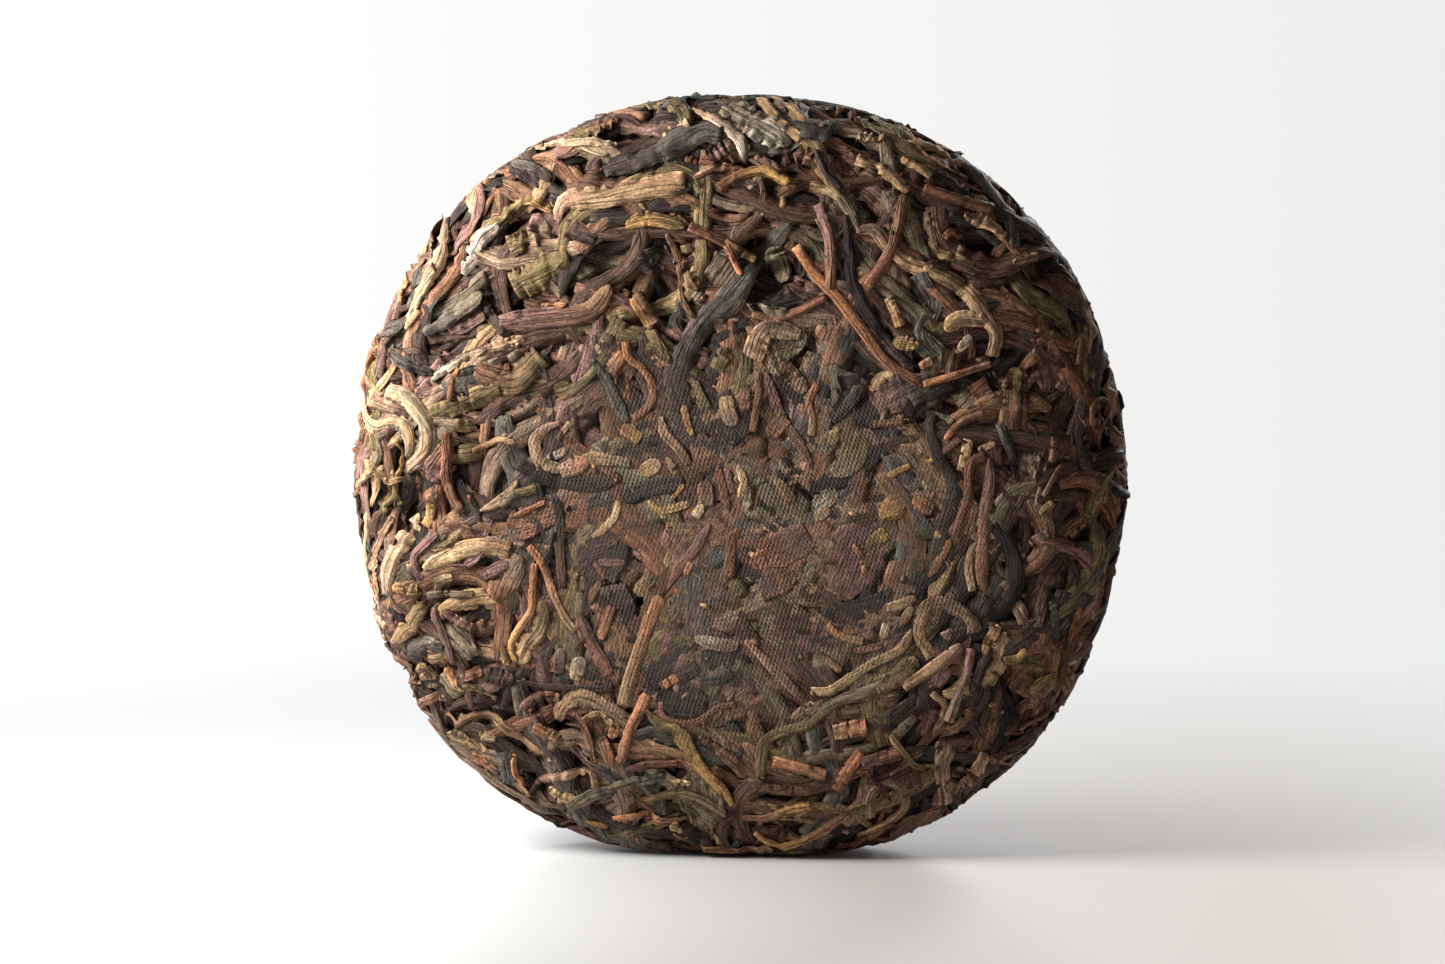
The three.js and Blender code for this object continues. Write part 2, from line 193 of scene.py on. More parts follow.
KINDS = {
    "bed": Kind(
        "leaves_below", count=1500, length=(9, 20), width=(1.8, 3.4), flatness=0.6,
        stations=7, sides=6, colours=BED_COLOURS, layer=(0, 1), lift=0.1, rise=-1.1,
    ),
    "flat": Kind(
        "flat_leaves", count=150, length=(7, 14), width=(4, 7), flatness=0.13,
        stations=15, sides=14, colours=FLAT_COLOURS, layer=(0.9, 1.7), twist=0.2,
        tip=(0.2, 0.5), taper=0.6, curl=0.5, wave=0.25, notch=0.16, contrast=0.12,
    ),
    "dark": Kind(
        "dark_leaves", count=265, length=(14, 34), width=(1.3, 3.3), flatness=0.4,
        stations=25, sides=12, colours=DARK_COLOURS,
    ),
    "brown": Kind(
        "brown_leaves", count=290, length=(14, 34), width=(1.2, 3.1), flatness=0.4,
        stations=25, sides=12, colours=BROWN_COLOURS,
    ),
    "olive": Kind(
        "olive_leaves", count=110, length=(12, 30), width=(1.4, 3.3), flatness=0.38,
        stations=25, sides=12, colours=OLIVE_COLOURS,
    ),
    "stem": Kind(
        "stems", count=60, length=(10, 26), width=(1.0, 1.9), flatness=0.8, stations=15,
        sides=8, colours=STEM_COLOURS, layer=(1.3, 2.2), ridge=0.1, twist=0.2, bend=0.02,
        tip=(0.75, 0.95), taper=0.06, face=False, slot="tea_stems",
    ),
    "bud": Kind(
        "buds", count=70, length=(8, 18), width=(1.4, 2.9), flatness=0.5, stations=21,
        sides=10, colours=BUD_COLOURS, layer=(1.4, 2.3), ridge=0.26, tip=(0.1, 0.35),
        taper=0.5, face=False, slot="tea_buds",
    ),
    "strand": Kind(
        "strands", count=160, length=(6, 18), width=(0.4, 0.9), flatness=0.8, stations=11,
        sides=5, colours=BROWN_COLOURS | STEM_COLOURS, layer=(1.6, 2.6), bend=0.09,
        tip=(0.3, 0.9), taper=0.2, face=False,
    ),
}

# The strips that stand out on the face, a row each: its colour, or those of its two ends,
# its width, and the points that it passes, right and up from the middle as seen.
FLAT_ROWS = """
olive 5  -29.5 27 -26.5 28.5 -23.5 30
olive/grey-olive 3.5  -30 32 -26 34
mauve/charcoal 2.5  -28 35 -24 34.5 -19 32.5
mauve 3  -39 20.5 -34.5 23
cream/pink-tan 2  -10.5 46 -6.5 48
mauve/grey-brown 3.5  -3.5 43 1 45.5
mauve/brown 3  4 42 8 44 10 43.5
charcoal/slate 3.5  -12.5 29.5 -8.5 31
pink-tan/grey-brown 3  2 16.7 4 20.5 8.5 20
slate 3  24 28 26 24 24.5 20 27 17
pink-tan/mauve 2.4  -48.9 11.1 -45.9 9.9 -43.1 9.1
slate/charcoal 4  -38.2 13 -34.6 14.2
mauve/brown 3  -41.4 0.8 -39.4 3.8
tan/grey-olive 1.8  -21.1 3.3 -18 3 -14.5 2.5
red-brown/brown 4  -30 -6 -25.4 -4.4
tan/grey-olive 2.4  13.2 7.1 11.7 4.3
olive/grey-olive 3.5  16.7 6.6 15 2.8 12.7 1.3
silver/grey-olive 2.2  11 -3 12.8 -1.6
red-brown/mauve 4  4.6 -9.6 8.6 -7.6
orange/red-brown 2.4  2.6 -10.9 4.6 -9.9
mauve/brown 3  3.8 -14.4 6.8 -13
red-brown/mauve 3  32.4 12 35 13.8
mauve/slate 5  20.2 11 24.4 12.8
gold/brown 2.8  20 -4 22.2 -2.6
olive/gold 1.8  17.8 -8.2 19.8 -7
mauve/grey-brown 1.6  39.8 -8.2 41.4 -7
slate 2.8  -44.4 -23.1 -42.1 -21.9 -39.6 -22.4
slate 2.4  -31.2 -37.1 -30.7 -39.1
black/charcoal 4  -10 -29.2 -5.2 -29.9
dark-brown/brown 2.4  -4 -32.4 -1.6 -31.6
olive 2.5  40.2 -28 42 -26.4
"""
LEAF_ROWS = """
olive/gold 1.4  -32 34.5 -30 37.5 -28 38 -25 36.5
pink-tan/tan 3  -24 35 -24 36.5 -22.5 38 -18 38.5 -10 40 -7 40.3
mauve/brown 3  -32 21.5 -26 22 -20 23 -17 26.5
charcoal 1.2  -34 28.5 -34 24 -31.5 20
grey-olive/slate 2.2  -34.5 25.5 -38 23 -42 20
olive/brown 2  -22.5 46 -16 48.5
slate/charcoal 1.4  -30 42.5 -27 42 -25 40.5
charcoal/slate 3.5  -18 42 -12 44 -5 47 -2 47
pink-tan/silver 1.6  -6 50 -2 48 0.5 45.5 1 43
grey-olive/silver 3.5  -2 50 3 48 7 45.5
tan 1.5  3 51 6 48 8.5 46
pink-tan/brown 1  -6 41 -3 42.3 1 42.2
gold/grey-olive 1.5  6 40.8 12 39.5 14.5 37.5 16.5 34
gold/olive 1.8  -15 34.5 -12 35.5 -7 34.5
black/charcoal 1.6  14.5 36 15 32 15.5 27 18 22 22 17 25.5 15.3
olive/brown 1.6  -7 32 -6.5 28 -4.5 24.5
gold/olive 1.6  -14 25 -12.5 22 -11.1 19.5 -9.1 16.2
brown 1.4  -14 26 -11 21.5
slate/charcoal 3.2  3 30 -1 25 -5 21 -7.8 15.7 -8.3 13.4 -7.1 9.4
grey-olive 3  5 31 6 28
grey-brown/tan 1.8  16 33.8 18.5 34 20.5 31.5 23 29.5 26.5 28.5
tan/pink-tan 2.2  25 29 30 26.5 33 23 34.8 20 34.3 17
grey-brown/tan 1.2  25.3 36.5 26 33.5 27 31 30 30 31.5 29
pink-tan/tan 1.6  16 43.5 19.5 42 23 39
tan/pink-tan 1.4  30.5 36 34 34.5 36 33
grey-olive/tan 1.1  -46.7 6.8 -48.2 5.8 -48 3.8 -49.2 1.8 -50.5 -0.3 -51.1 -2
slate/charcoal 1.4  -47.2 18.2 -45.4 16.5 -43.1 15.4 -40.8 14.7
silver/grey-brown 1.3  -41.1 13.7 -39.8 14.9 -37.8 16.2 -36.3 17.2 -33.7 18
pink-tan/tan 1.3  -33.5 18 -31.2 18.7 -28.7 19.5
brown/olive 3.5  -35.3 15.2 -30.4 13.9 -26.6 17.2
olive 2.5  -41.3 9.1 -38.8 9.9 -35.8 11.1 -32 12.7
grey-olive/olive 1.5  -40.8 8.3 -35.3 7.3
black/charcoal 1.2  -38.3 1.3 -37 -1.3 -35.5 -3.1 -34.7 -5.3
black/charcoal 2  -29.7 2.5 -26.1 0.7 -21.1 -0.3 -16 0.2
charcoal/dark-brown 1.3  -25.1 -1.5 -24.1 -4.3 -24.1 -7.9 -23.9 -11.7 -23.6 -14.2
grey-brown/brown 3.4  -29.4 -9.9 -31.2 -13.4 -32.5 -16
mauve 1.8  -34.5 -12.7 -31 -11
cream/tan 2.5  -42.1 -11.7 -39.3 -10.1 -36.3 -8.9 -33.2 -8.9 -30.7 -9.4
pink-tan/tan 1.2  -46.4 -4.6 -47.7 -6.9 -48.7 -9.6 -48.9 -11.7 -48.2 -13.7 -47.9 -15.5
tan/gold 1.3  -41.3 -1.5 -41.6 -4.1 -42.1 -6.3
mauve 1  -40.3 -6.9 -42.6 -8.9 -43.4 -10.2 -42.6 -13 -42.3 -15.5
olive/cream 1.3  -40.8 -13.2 -38.3 -12.7
gold/tan 1.4  -46.1 -14 -42.9 -14.5
slate 1.5  -19.5 16.7 -17.5 13.4 -16.2 10.4 -14.9 8.1
brown/orange 2  -17 15.2 -15.4 17.2
olive 2  -2.8 15.2 -1.4 18.2
tan/grey-brown 2.2  -1.5 11.6 -1.3 9.9 -0.5 7.6
red-brown/brown 1.6  1 12.7 1 9.9
brown/grey-brown 2.4  5.8 16.2 7.9 13.9 9.1 12.1
mauve/brown 1.2  3.8 14.9 4.8 11.6 6.3 8.1 8.6 4.8 10.1 1.8
red-brown/brown 2  4.4 6.4 6.2 8.6
slate/charcoal 1.4  17.5 14.9 15.5 11.1 12.9 8.1
tan/brown 1.5  5 0.5 6.9 -1.8 7.6 -2.8
cream/tan 1.1  0 2.3 0.8 0 0.3 -2.3
mauve 1  -1.5 1.8 -0.7 -1.5
red-brown 1.1  -2.8 2.3 -1.8 -1.8 -1.3 -3.8
brown/grey-brown 2  -4.5 -0.3 -4.3 -2.8
gold/tan 1.1  -12.1 -2.5 -10.6 -3.8 -8.9 -3.6 -6.3 -2.8
black/charcoal 2.2  -15.7 -2.5 -12.4 -1 -7.3 0.2
tan 0.9  -9.6 3.3 -8.3 1
orange/gold 1.8  -15.2 7.1 -13.7 6.1
pink-tan/brown 1.2  -10.4 8.9 -9.9 6.6 -7.8 4.3 -6.6 2.3
mauve/red-brown 1.3  -3.8 -5.6 -4.8 -7.4 -6.3 -9.6 -8.1 -11.9 -9.6 -14.5
cream/tan 1.2  -16.2 -2.5 -16.7 -4.6 -18.5 -6.6 -19.7 -7.4
olive/tan 2  -11.6 -12.9 -13.7 -15
mauve 1  -18.7 -10.9 -15.2 -10.9
tan/cream 1.3  17.9 12.4 19.5 14.2 21.1 14.5
brown 1  20.8 15.5 23.3 13.9 24.9 13.2
charcoal 1.8  28.2 10.7 26.1 8.4 26.4 6.1 27.1 3.6 28.7 1 29.2 -1.3 28.7 -3.8 27.7 -6.3 26.9 -9.4 25.9 -12.4
cream/tan 1.2  31.2 5.8 30.7 3.6 30.2 1.5
pink-tan/tan 1  32.5 4.3 34.7 5.3
mauve/brown 1.7  34 3.3 34 0.3 33.5 -3.5 33.2 -7.3 33 -11.1 33.2 -15.4
olive/gold 0.9  24.1 3.8 26.4 2.8
orange/brown 1.8  23.9 -2.5 26.1 -3.8
mauve/slate 1.1  20.8 0.8 22.8 -2.3 24.4 -4.8 26.6 -6.6
tan 1  27.5 -5.6 26.9 -7.6
orange/brown 1.2  28.7 -7.8 27.4 -10.1 25.9 -12.9
olive/brown 3  37.8 15.5 37 7.1
slate/charcoal 1.2  35.3 7.9 37 3.8 37.5 0.5
tan/olive 1  42.9 -2.3 40.6 -4.3
olive/tan 2.2  -42.4 -16.5 -43.9 -19.1 -45.9 -21.3
tan/pink-tan 1.3  -49.5 -16.5 -46.9 -19.3
tan 1  -49.5 -19.1 -46.7 -20.8
tan/olive 1.1  -47.2 -23.9 -45.7 -25.7
mauve/brown 1.5  -39.8 -17.3 -37.8 -18.8 -35.5 -19.8 -34.3 -18.6
olive/tan 2.3  -26.2 -16 -26.7 -19.6 -28.4 -21.9 -29.5 -24.4
mauve/red-brown 2  -21.6 -17.5 -20.1 -21.3 -18.3 -24.4 -17.5 -26.2
brown/orange 1.3  -17 -16.8 -17.8 -19.1 -18.6 -21.3
grey-olive/slate 1.5  -23.9 -22.4 -24.1 -25.4
silver/cream 1.7  -21.1 -23.6 -21.9 -26.7
charcoal 1  -29.7 -26.7 -26.7 -27.4 -22.1 -27.7 -18.1 -27.9 -17 -26.7
orange/tan 1  -39.8 -24.1 -38.8 -26.2 -37.1 -28.4
tan/grey-brown 2.2  -42.9 -24.4 -41.6 -26.4 -41.1 -28.2
mauve/red-brown 1.2  -37.8 -26.4 -34.3 -25.4
charcoal/dark-brown 2.2  -33.3 -25.9 -30.5 -26.4
brown/pink-tan 1.2  -43.6 -30.2 -41.9 -29.5 -39.3 -29.2
grey-brown 1.3  -42.1 -30.2 -39.8 -32.5 -37.8 -35.5 -34.3 -38.3 -30.5 -40.9 -26.7 -42.9
brown/tan 1.2  -39.3 -31.2 -37.6 -32.5 -35.8 -31.7 -33.3 -31.7 -31 -33.3 -28.4 -35.3 -25.4 -37.6 -24.6 -39.3
brown/dark-brown 1.4  -41.4 -31.7 -37.8 -36.8 -34.3 -39.8 -29.7 -42.9 -25.4 -45.4 -20.3 -46.7
tan/pink-tan 1.3  -34.3 -33.8 -32.7 -34.3
olive 1.1  -37.8 -33.5 -35.8 -34.5
orange/pink-tan 1.6  -27.4 -32.7 -25.7 -33.8 -23.9 -34.5
tan/grey-brown 2.2  -24.4 -32.7 -23.6 -30.2 -21.6 -28.9 -19.3 -29.5 -17.3 -30.7 -14.5 -32.5
mauve/brown 1.5  -29.2 -30.7 -26.9 -28.9 -23.9 -28.9
orange/tan 1.4  -16.3 -32.7 -17 -34.3
red-brown 1.6  -18.3 -34.3 -16.8 -38.1
mauve/slate 1.3  -22.4 -35 -20.8 -37.3 -18.3 -38.8 -15.3 -40.6
mauve/pink-tan 1.3  -28.3 -42.1 -26.9 -40.6 -24.6 -39.6 -21.6 -39.3 -19.6 -39.1
cream/tan 1.7  -25.4 -41.1 -23.6 -42.1 -21.6 -42.6
grey-olive/slate 1.8  -22.6 -43.6 -19.6 -42.1 -16.5 -41.4
gold/orange 1.1  -20.5 -45.4 -17.3 -46.2
charcoal 2  -7.8 -26.2 -6 -25.2
slate/charcoal 1.5  -5.3 -26.9 -2.8 -26.7 -0.8 -25.7
silver/grey-brown 1.7  -5.8 -21.1 -2.8 -21.9 0.2 -22.1
pink-tan/grey-brown 1.3  1 -21.3 2.8 -23.1 4.8 -25.1 7.3 -27.7 9.9 -30.2
olive/gold 1.8  -12.9 -30.2 -10.7 -32.7 -7.9 -34 -6.1 -36.8 -4.1 -39.6 -1.8 -41.9 -0.8 -43.4
dark-brown/brown 1.6  -5.3 -34.3 -2.3 -36.3 0.5 -38.6
olive/grey-olive 1.6  3 -39.8 3.3 -36.8 3.8 -35 5.8 -33.8 8.9 -33 11.1 -31.2 13.7 -29.5 17.5 -28.2 20 -26.9
olive 2.4  18.6 -27.6 22.4 -25.7 24.1 -23.6
cream/tan 1.4  9.9 -28.2 12.4 -28.2 15.4 -26.4 18 -24.6 21.9 -22.6 23.6 -19.8
mauve/red-brown 1.4  -15 -38.6 -11.7 -38.1 -7.9 -37.8
grey-olive/slate 1.5  -17.5 -41.1 -12.9 -40.1 -9.5 -39.6
tan/cream 1  -9.4 -40.3 -6.1 -40.6
olive/grey-olive 1.4  -11.7 -42.6 -8.4 -41.9 -5.3 -42.4 -1.5 -44.7
orange/brown 1  -16.7 -44.9 -12.9 -44.9 -9.6 -45.7 -6.6 -45.4
cream/tan 1  -9.1 -46.2 -7.4 -46.9
mauve/brown 1.4  1.5 -40.1 5 -41.4 10 -41.6
brown/gold 1.2  0.7 -44.9 3.5 -45.2 6.3 -44.1 9.9 -43.4
gold/brown 1.3  2.3 -46.9 4.3 -48.5 6.3 -48.7 9.9 -47.4 12.4 -45.9 14.9 -44.4
tan 0.9  -4.3 -46.7 -2.3 -48.2
mauve/brown 1  15.7 -22.9 19.7 -22.1
tan/grey-brown 1.8  26.2 -23.6 24.9 -21.3 24.6 -19.1 25.7 -16.8 27.7 -16.3 30.2 -17.5 31.7 -18.8 32 -20.3
cream/tan 1.2  20.1 -17 22.1 -16.5 24.1 -15.5
silver/tan 1.2  20.1 -19.1 19.6 -21.1
tan/brown 1.2  23.6 -16.8 22.1 -19.3
tan/pink-tan 1.7  22.4 -27.7 25.4 -25.7 27.7 -24.1 30.2 -21.9
tan/grey-brown 1  26.2 -28.4 27.9 -30 27.7 -31.7 26.4 -34.3
charcoal 1.5  34 -22.4 32.7 -25.4 31.5 -28.4
tan/gold 1.3  35.3 -19.3 33.8 -21.6 33.3 -23.1
red-brown/brown 1.3  31.7 -30.2 29.2 -33.5
tan/pink-tan 1.1  34 -29.7 36 -31.7
red-brown/dark-brown 1.4  45.9 -16.5 44.4 -21.6 43.4 -25.4 42.6 -28.7
slate/charcoal 1.2  42.4 -16 42.6 -21.6
grey-brown/tan 1.3  17.8 -44.9 18.1 -42.1 19.6 -40.9 21.6 -40.6 22.6 -42.6 21.9 -44.2 19.1 -45.9 16 -47.2
pink-tan/tan 1.6  33.3 -36.5 31.7 -39.1 29.2 -41.9
grey-olive/olive 1.6  30.2 -38.3 28.2 -41.4
"""
BUD_ROWS = """
pink-tan/cream 1.8  -38.5 36 -39.5 32 -40.5 29 -42.5 25.5 -44.3 20.5
silver 2.2  -32 34.5 -34.5 32.5 -37 28
cream/pink-tan 1.2  -23.5 45 -20 45.5 -16 45.5
gold 2  21 19 24.5 18.5
gold/tan 2  28 20.5 30 22 33 21.8
cream/silver 1.2  29.5 17.5 31.5 19.8
cream/gold 1.2  16 46.5 19.5 46
cream/tan 2  -46.8 12.4 -44.6 11.4 -42.9 9.6 -41.8 7.6 -41.7 5.6 -42.3 3.8 -44.6 1.8
cream/tan 1.7  -49.6 10.6 -49.4 8.6 -48.2 7.6 -46.7 8.1 -45.1 7.8 -44.2 6.3 -44.1 4.8 -44.9 3.5
pink-tan/tan 1.3  -34.7 -3.8 -33 -3.1 -30.9 -1.5 -29.7 0.2
pink-tan/tan 1.5  -23.9 8.1 -25.9 7.3 -27.4 5.6 -27.1 3.5 -25.9 2.3 -23.9 1.8
silver/cream 1  -25.9 3.3 -24.1 3.8 -23.1 4.8
pink-tan/orange 2.4  -23.2 1.6 -21 2.5
gold/cream 1.8  -12.7 1.5 -10.9 2.5
cream/pink-tan 2.3  -43.5 -4.3 -44.1 -6.3 -45.6 -9.1 -46.7 -11.9 -46.8 -15
cream/tan 1.4  10.6 -4.9 12.2 -3.7
cream 1.2  -4.8 -3.1 -5.7 -4.6
gold/cream 1  31.7 -9.1 31.2 -11.4 31.7 -14.7
"""
STEM_ROWS = """
red-brown/gold 1.4  -2.5 39.5 0 41.2 3.5 42 7 40.3
red-brown/brown 1.4  -6.5 34.5 -2 32.5 2.5 30
orange/red-brown 1.5  7.8 31.8 11 27.5 13.5 25 17 20.5 20 16.5 24.5 13.5
orange/brown 1  25.1 13.2 27.4 13.9 30.2 14.7 34.2 16
mauve/red-brown 1.8  11 37.5 12.5 33 12.5 26
brown/red-brown 1.2  2 22.7 5 22 8 23 12 25
brown/red-brown 1.6  22.5 38.5 21.5 34 20.5 31 17.5 26.5
cream/gold 1.4  20.5 25 21.5 22.5 22 21
red-brown/brown 1.5  25 39.5 34 36.5
red-brown/brown 1.5  -39.2 6.8 -39.1 3.8 -39.3 0.7 -38.5 -2 -37.3 -3.8
orange/tan 1.2  -28.2 -8.6 -26.4 -10.9 -24.9 -15 -23.4 -18.1 -21.9 -20.1
orange/gold 1.1  -27.4 -10.9 -27.7 -14.2 -27.9 -17.3 -29.7 -20.1 -30.5 -22.4 -29.7 -24.1
orange/red-brown 1.1  -15.1 19 -14.6 16.7 -12.7 15.2 -11.6 13.4 -11.6 11.1 -12.7 9.6 -14.2 8.6
red-brown 1  2.8 14.9 2.8 11.6 2 6.8
orange/tan 1.1  10.8 13.2 9.6 11.1 10.1 8.6 9.9 6.3
red-brown/brown 1.5  -1 -6.9 -1 -9.9 -1.3 -12.9
brown 1.1  18.3 7.9 22.3 8.1
red-brown 1.3  33.5 3.6 31.7 2.8 31.2 0.5 31.2 -2.3 30.4 -4.3 29.2 -7.3
red-brown/brown 1  42.6 6.1 42.3 2.8
orange/brown 1.1  -35.3 -36.3 -32 -38.8
orange/tan 1.8  -10.4 -15.5 -11.9 -18.6 -13.2 -22.4 -14.5 -26.2 -15.5 -30.2
orange 1.3  -8.1 -26.4 -10.4 -27.7
orange/brown 1.5  -12.2 -28.7 -13.4 -31.2 -14.7 -34 -15.7 -37.6
red-brown/brown 0.9  -10.4 -29.7 -10.1 -31.5 -7.9 -32.5 -5.3 -32.2 -2.8 -30.5 -0.3 -30
tan/orange 2.2  13 -33.8 17.4 -32.8
orange/red-brown 1.6  16.7 -36.3 14.9 -38.8 13.4 -41.4
orange/brown 1.7  4.8 -37.6 8.6 -38.6 11.9 -39.6
red-brown/brown 1.1  -5.3 -49 0 -49.3 4.8 -49.2
orange/tan 1.1  12.1 -19.3 13.9 -20.8 17 -21.6
mauve/grey-brown 1.3  31.5 -22.4 31 -25.4 29.7 -28.7 28.4 -32.2
mauve/red-brown 1.8  16.8 -37.8 19.3 -37.1 21.9 -36.3
"""
STRAND_ROWS = """
orange 0.8  -26.5 23.8 -23 24
tan 0.9  -44 21 -42.5 23
red-brown 1  -7 43.5 -3 43
charcoal 1  10.5 44.5 12 41.5 14 39.5
orange 0.9  -1.5 32 0.5 28
brown 1  -9.5 33.5 -8 30 -7.5 25 -5.5 22
orange/brown 0.9  27.8 33 29 33.8 30.3 32.5 29.8 30.8
orange/pink-tan 1.1  24.6 15.6 26.2 16.6
tan 1.2  22 43.5 26 41
tan 1  37 29.5 40 30.3
orange/tan 0.9  -47.7 19.2 -49.2 16.7 -50.5 13.7 -51.2 10.6 -51.8 7.3 -52.1 2.5
gold/olive 0.8  -46.1 5.8 -45.8 3.5 -46 0.7 -46.3 -1.5 -47.4 -3.1
olive 0.8  -46 0.7 -46.1 -1.5 -45.1 -4.1
tan 0.9  -47.7 2.5 -47.9 1.3 -47.2 0 -45.1 0.5
orange/brown 0.8  -37.5 15.4 -38.4 13.7 -38.7 10.9
brown/tan 0.8  -35.8 4.3 -33.7 5.1 -32.2 5.8 -29.9 5.3
grey-olive/olive 1  -32 -3.3 -29.7 -1.5 -27.1 -0.8
pink-tan/brown 0.7  -22.6 8.1 -24.4 5.8
orange 0.7  -30 -4.5 -26 -2.6
grey-olive/olive 1  -41.3 -15.1 -35.5 -15
gold 0.9  -7.3 10.4 -6.8 8.1 -6.1 6.3
olive 0.9  -5.7 13.7 -4.8 11.6 -3.8 9.9
gold 0.6  -7.3 -0.3 -8.9 -2.3
orange 0.8  -6.3 -10.9 -7.1 -12.4
orange 0.8  15.7 -8.4 16.7 -10.1 17.2 -12.4
orange/brown 0.9  28 5.8 29.2 7.4 30.9 8.6 33.2 9.4
gold 0.8  20.3 0.8 21.6 1.5 23.3 2.3
brown 0.7  47.4 7.6 47.4 10.1 48.7 11.2 49.9 10.1 51 6.1
charcoal/red-brown 0.8  46.7 6.3 47.4 3.8 48.2 3.6
grey-brown/brown 0.9  41.1 -1.8 43.9 2.8
black/charcoal 1.4  50.4 -1.2 52.2 -1.8
mauve/brown 0.9  -48.2 -21.9 -45.4 -23.9 -43.6 -26.7
mauve 0.9  -41.1 -16.8 -39.8 -19.6 -38.6 -22.6 -38.1 -24.4
olive/gold 0.9  -31.5 -22.4 -31 -24.6
olive 0.9  -36.8 -27.4 -34.8 -27.7 -32.5 -29.2
orange 0.7  -30 -36.5 -29.7 -38.8 -28.7 -40.6
tan 0.9  -20.8 -32.2 -18.8 -31.2 -16.8 -32.7
olive/tan 0.9  10.5 -23 14 -25.5
olive/gold 1  35.8 -23.9 37.6 -23.6 38.8 -22.4
tan/olive 1  20.6 -34 22.4 -36.3 24.1 -38.1 26.9 -38.3
"""

SHOWN_KINDS = {
    "flat": Kind(
        "face_flat_leaves", rows=FLAT_ROWS, flatness=0.12, stations=25, sides=18,
        layer=(2.6, 2.9), twist=0.15, tip=(0.3, 0.6), taper=0.5, curl=0.4, wave=0.2,
        notch=0.14, contrast=0.06, rise=0.0,
    ),
    "leaf": Kind(
        "face_leaves", rows=LEAF_ROWS, flatness=0.42, stations=29, sides=14,
        layer=(3.0, 3.3), tip=(0.2, 0.5), taper=0.28, contrast=0.06, rise=0.15,
    ),
    "bud": Kind(
        "face_buds", rows=BUD_ROWS, flatness=0.48, stations=29, sides=14,
        layer=(3.3, 3.6), ridge=0.26, tip=(0.15, 0.4), taper=0.4, contrast=0.06,
        rise=0.25, slot="tea_buds",
    ),
    "stem": Kind(
        "face_stems", rows=STEM_ROWS, flatness=0.8, stations=27, sides=10,
        layer=(3.5, 3.8), ridge=0.1, twist=0.15, tip=(0.75, 0.95), taper=0.05,
        notch=0.06, contrast=0.06, rise=0.25, slot="tea_stems",
    ),
    "strand": Kind(
        "face_strands", rows=STRAND_ROWS, flatness=0.8, stations=19, sides=8,
        layer=(3.7, 4.0), tip=(0.4, 0.9), taper=0.15, contrast=0.06, rise=0.3,
    ),
}


# Small helpers.


def unit(vectors):
    return vectors / np.linalg.norm(vectors, axis=-1, keepdims=True)


def smoothstep(values, low, high):
    share = np.clip((values - low) / (high - low), 0, 1)
    return share * share * (3 - 2 * share)


def between(pair, size=None):
    """Random numbers between the least and the most of a pair."""
    return rng.uniform(pair[0], pair[1], size)


def linear(name):
    """The light that a colour word sends back, by the sRGB curve."""
    srgb = np.array(COLOURS[name]) / 255
    return TINT_GAIN * np.where(srgb <= 0.04045, srgb / 12.92, ((srgb + 0.055) / 1.055) ** 2.4)


# The form.


def outline_radius(x, z):
    return CAKE_RADIUS * (1 - CORNER_SWELL * np.cos(CORNERS * np.arctan2(z, x)))


def half_thickness(radius, y):
    inward = np.clip(1 - (radius / DIMPLE_RADIUS) ** 2, 0, None)
    return CAKE_HALF_THICKNESS - np.where(y > 0, DIMPLE_DEPTH * inward**2, 0)


def form_level(points):
    """Zero on the form, negative inside it and positive outside."""
    x, y, z = np.moveaxis(points, -1, 0)
    radius = np.hypot(x, z)
    reach = radius / outline_radius(x, z)
    depth = np.abs(y) / half_thickness(radius, y)
    return reach**FACE_POWER + depth**RIM_POWER - 1


def form_slope(points, reach=0.01):
    steps = reach * np.eye(3)
    slopes = [form_level(points + step) - form_level(points - step) for step in steps]
    return np.stack(slopes, axis=-1) / (2 * reach)


def settle(points, rounds=5):
    """Moves points onto the form, and gives the ways out of it there."""
    for _ in range(rounds):
        slope = form_slope(points)
        share = form_level(points) / (slope**2).sum(axis=-1)
        points = points - slope * share[..., None]
    return points, unit(form_slope(points))


def pressed_share(points):
    """One where the cloth pressed the leaves smooth, and zero in the loose ring round it."""
    x, y, z = np.moveaxis(points, -1, 0)

    def inside(press):
        away = np.hypot((x - press["x"]) / press["wide"], (z - press["z"]) / press["high"])
        for across, up, phase, share in PRESS_WANDER:
            away = away + share * np.sin(across * x + up * z + phase)
        return 1 - smoothstep(away, 1 - PRESS_FADE / 2, 1 + PRESS_FADE)

    return np.where(y < 0, inside(FRONT_PRESS), inside(BACK_PRESS))


# Charts: each side of the cake is laid out flat round its pole, so that heights can be kept.


def arc_table(steps=6000):
    """Arc length from a pole to the rim's middle, by the angle of the outline's curve."""
    angle = np.linspace(0, 1, steps) ** 2 * math.pi / 2
    radius = CAKE_RADIUS * np.sin(angle) ** (2 / FACE_POWER)
    depth = CAKE_HALF_THICKNESS * np.clip(np.cos(angle), 0, None) ** (2 / RIM_POWER)
    run = np.cumsum(np.hypot(np.diff(radius), np.diff(depth)))
    return angle, radius, depth, np.concatenate([[0], run])


ARC_ANGLE, ARC_RADIUS, ARC_DEPTH, ARC_LENGTH = arc_table()
HALF_ARC = ARC_LENGTH[-1]
CHART_REACH = HALF_ARC + CHART_OVERLAP
CHART_CELLS = int(2 * CHART_REACH / CELL) + 3


def front_arc(points):
    """Arc length from the front pole."""
    x, y, z = np.moveaxis(points, -1, 0)
    reach = np.hypot(x, z) / outline_radius(x, z)
    depth = np.abs(y) / CAKE_HALF_THICKNESS
    angle = np.arctan2(reach ** (FACE_POWER / 2), depth ** (RIM_POWER / 2))
    arc = np.interp(angle, ARC_ANGLE, ARC_LENGTH)
    return np.where(y < 0, arc, 2 * HALF_ARC - arc)


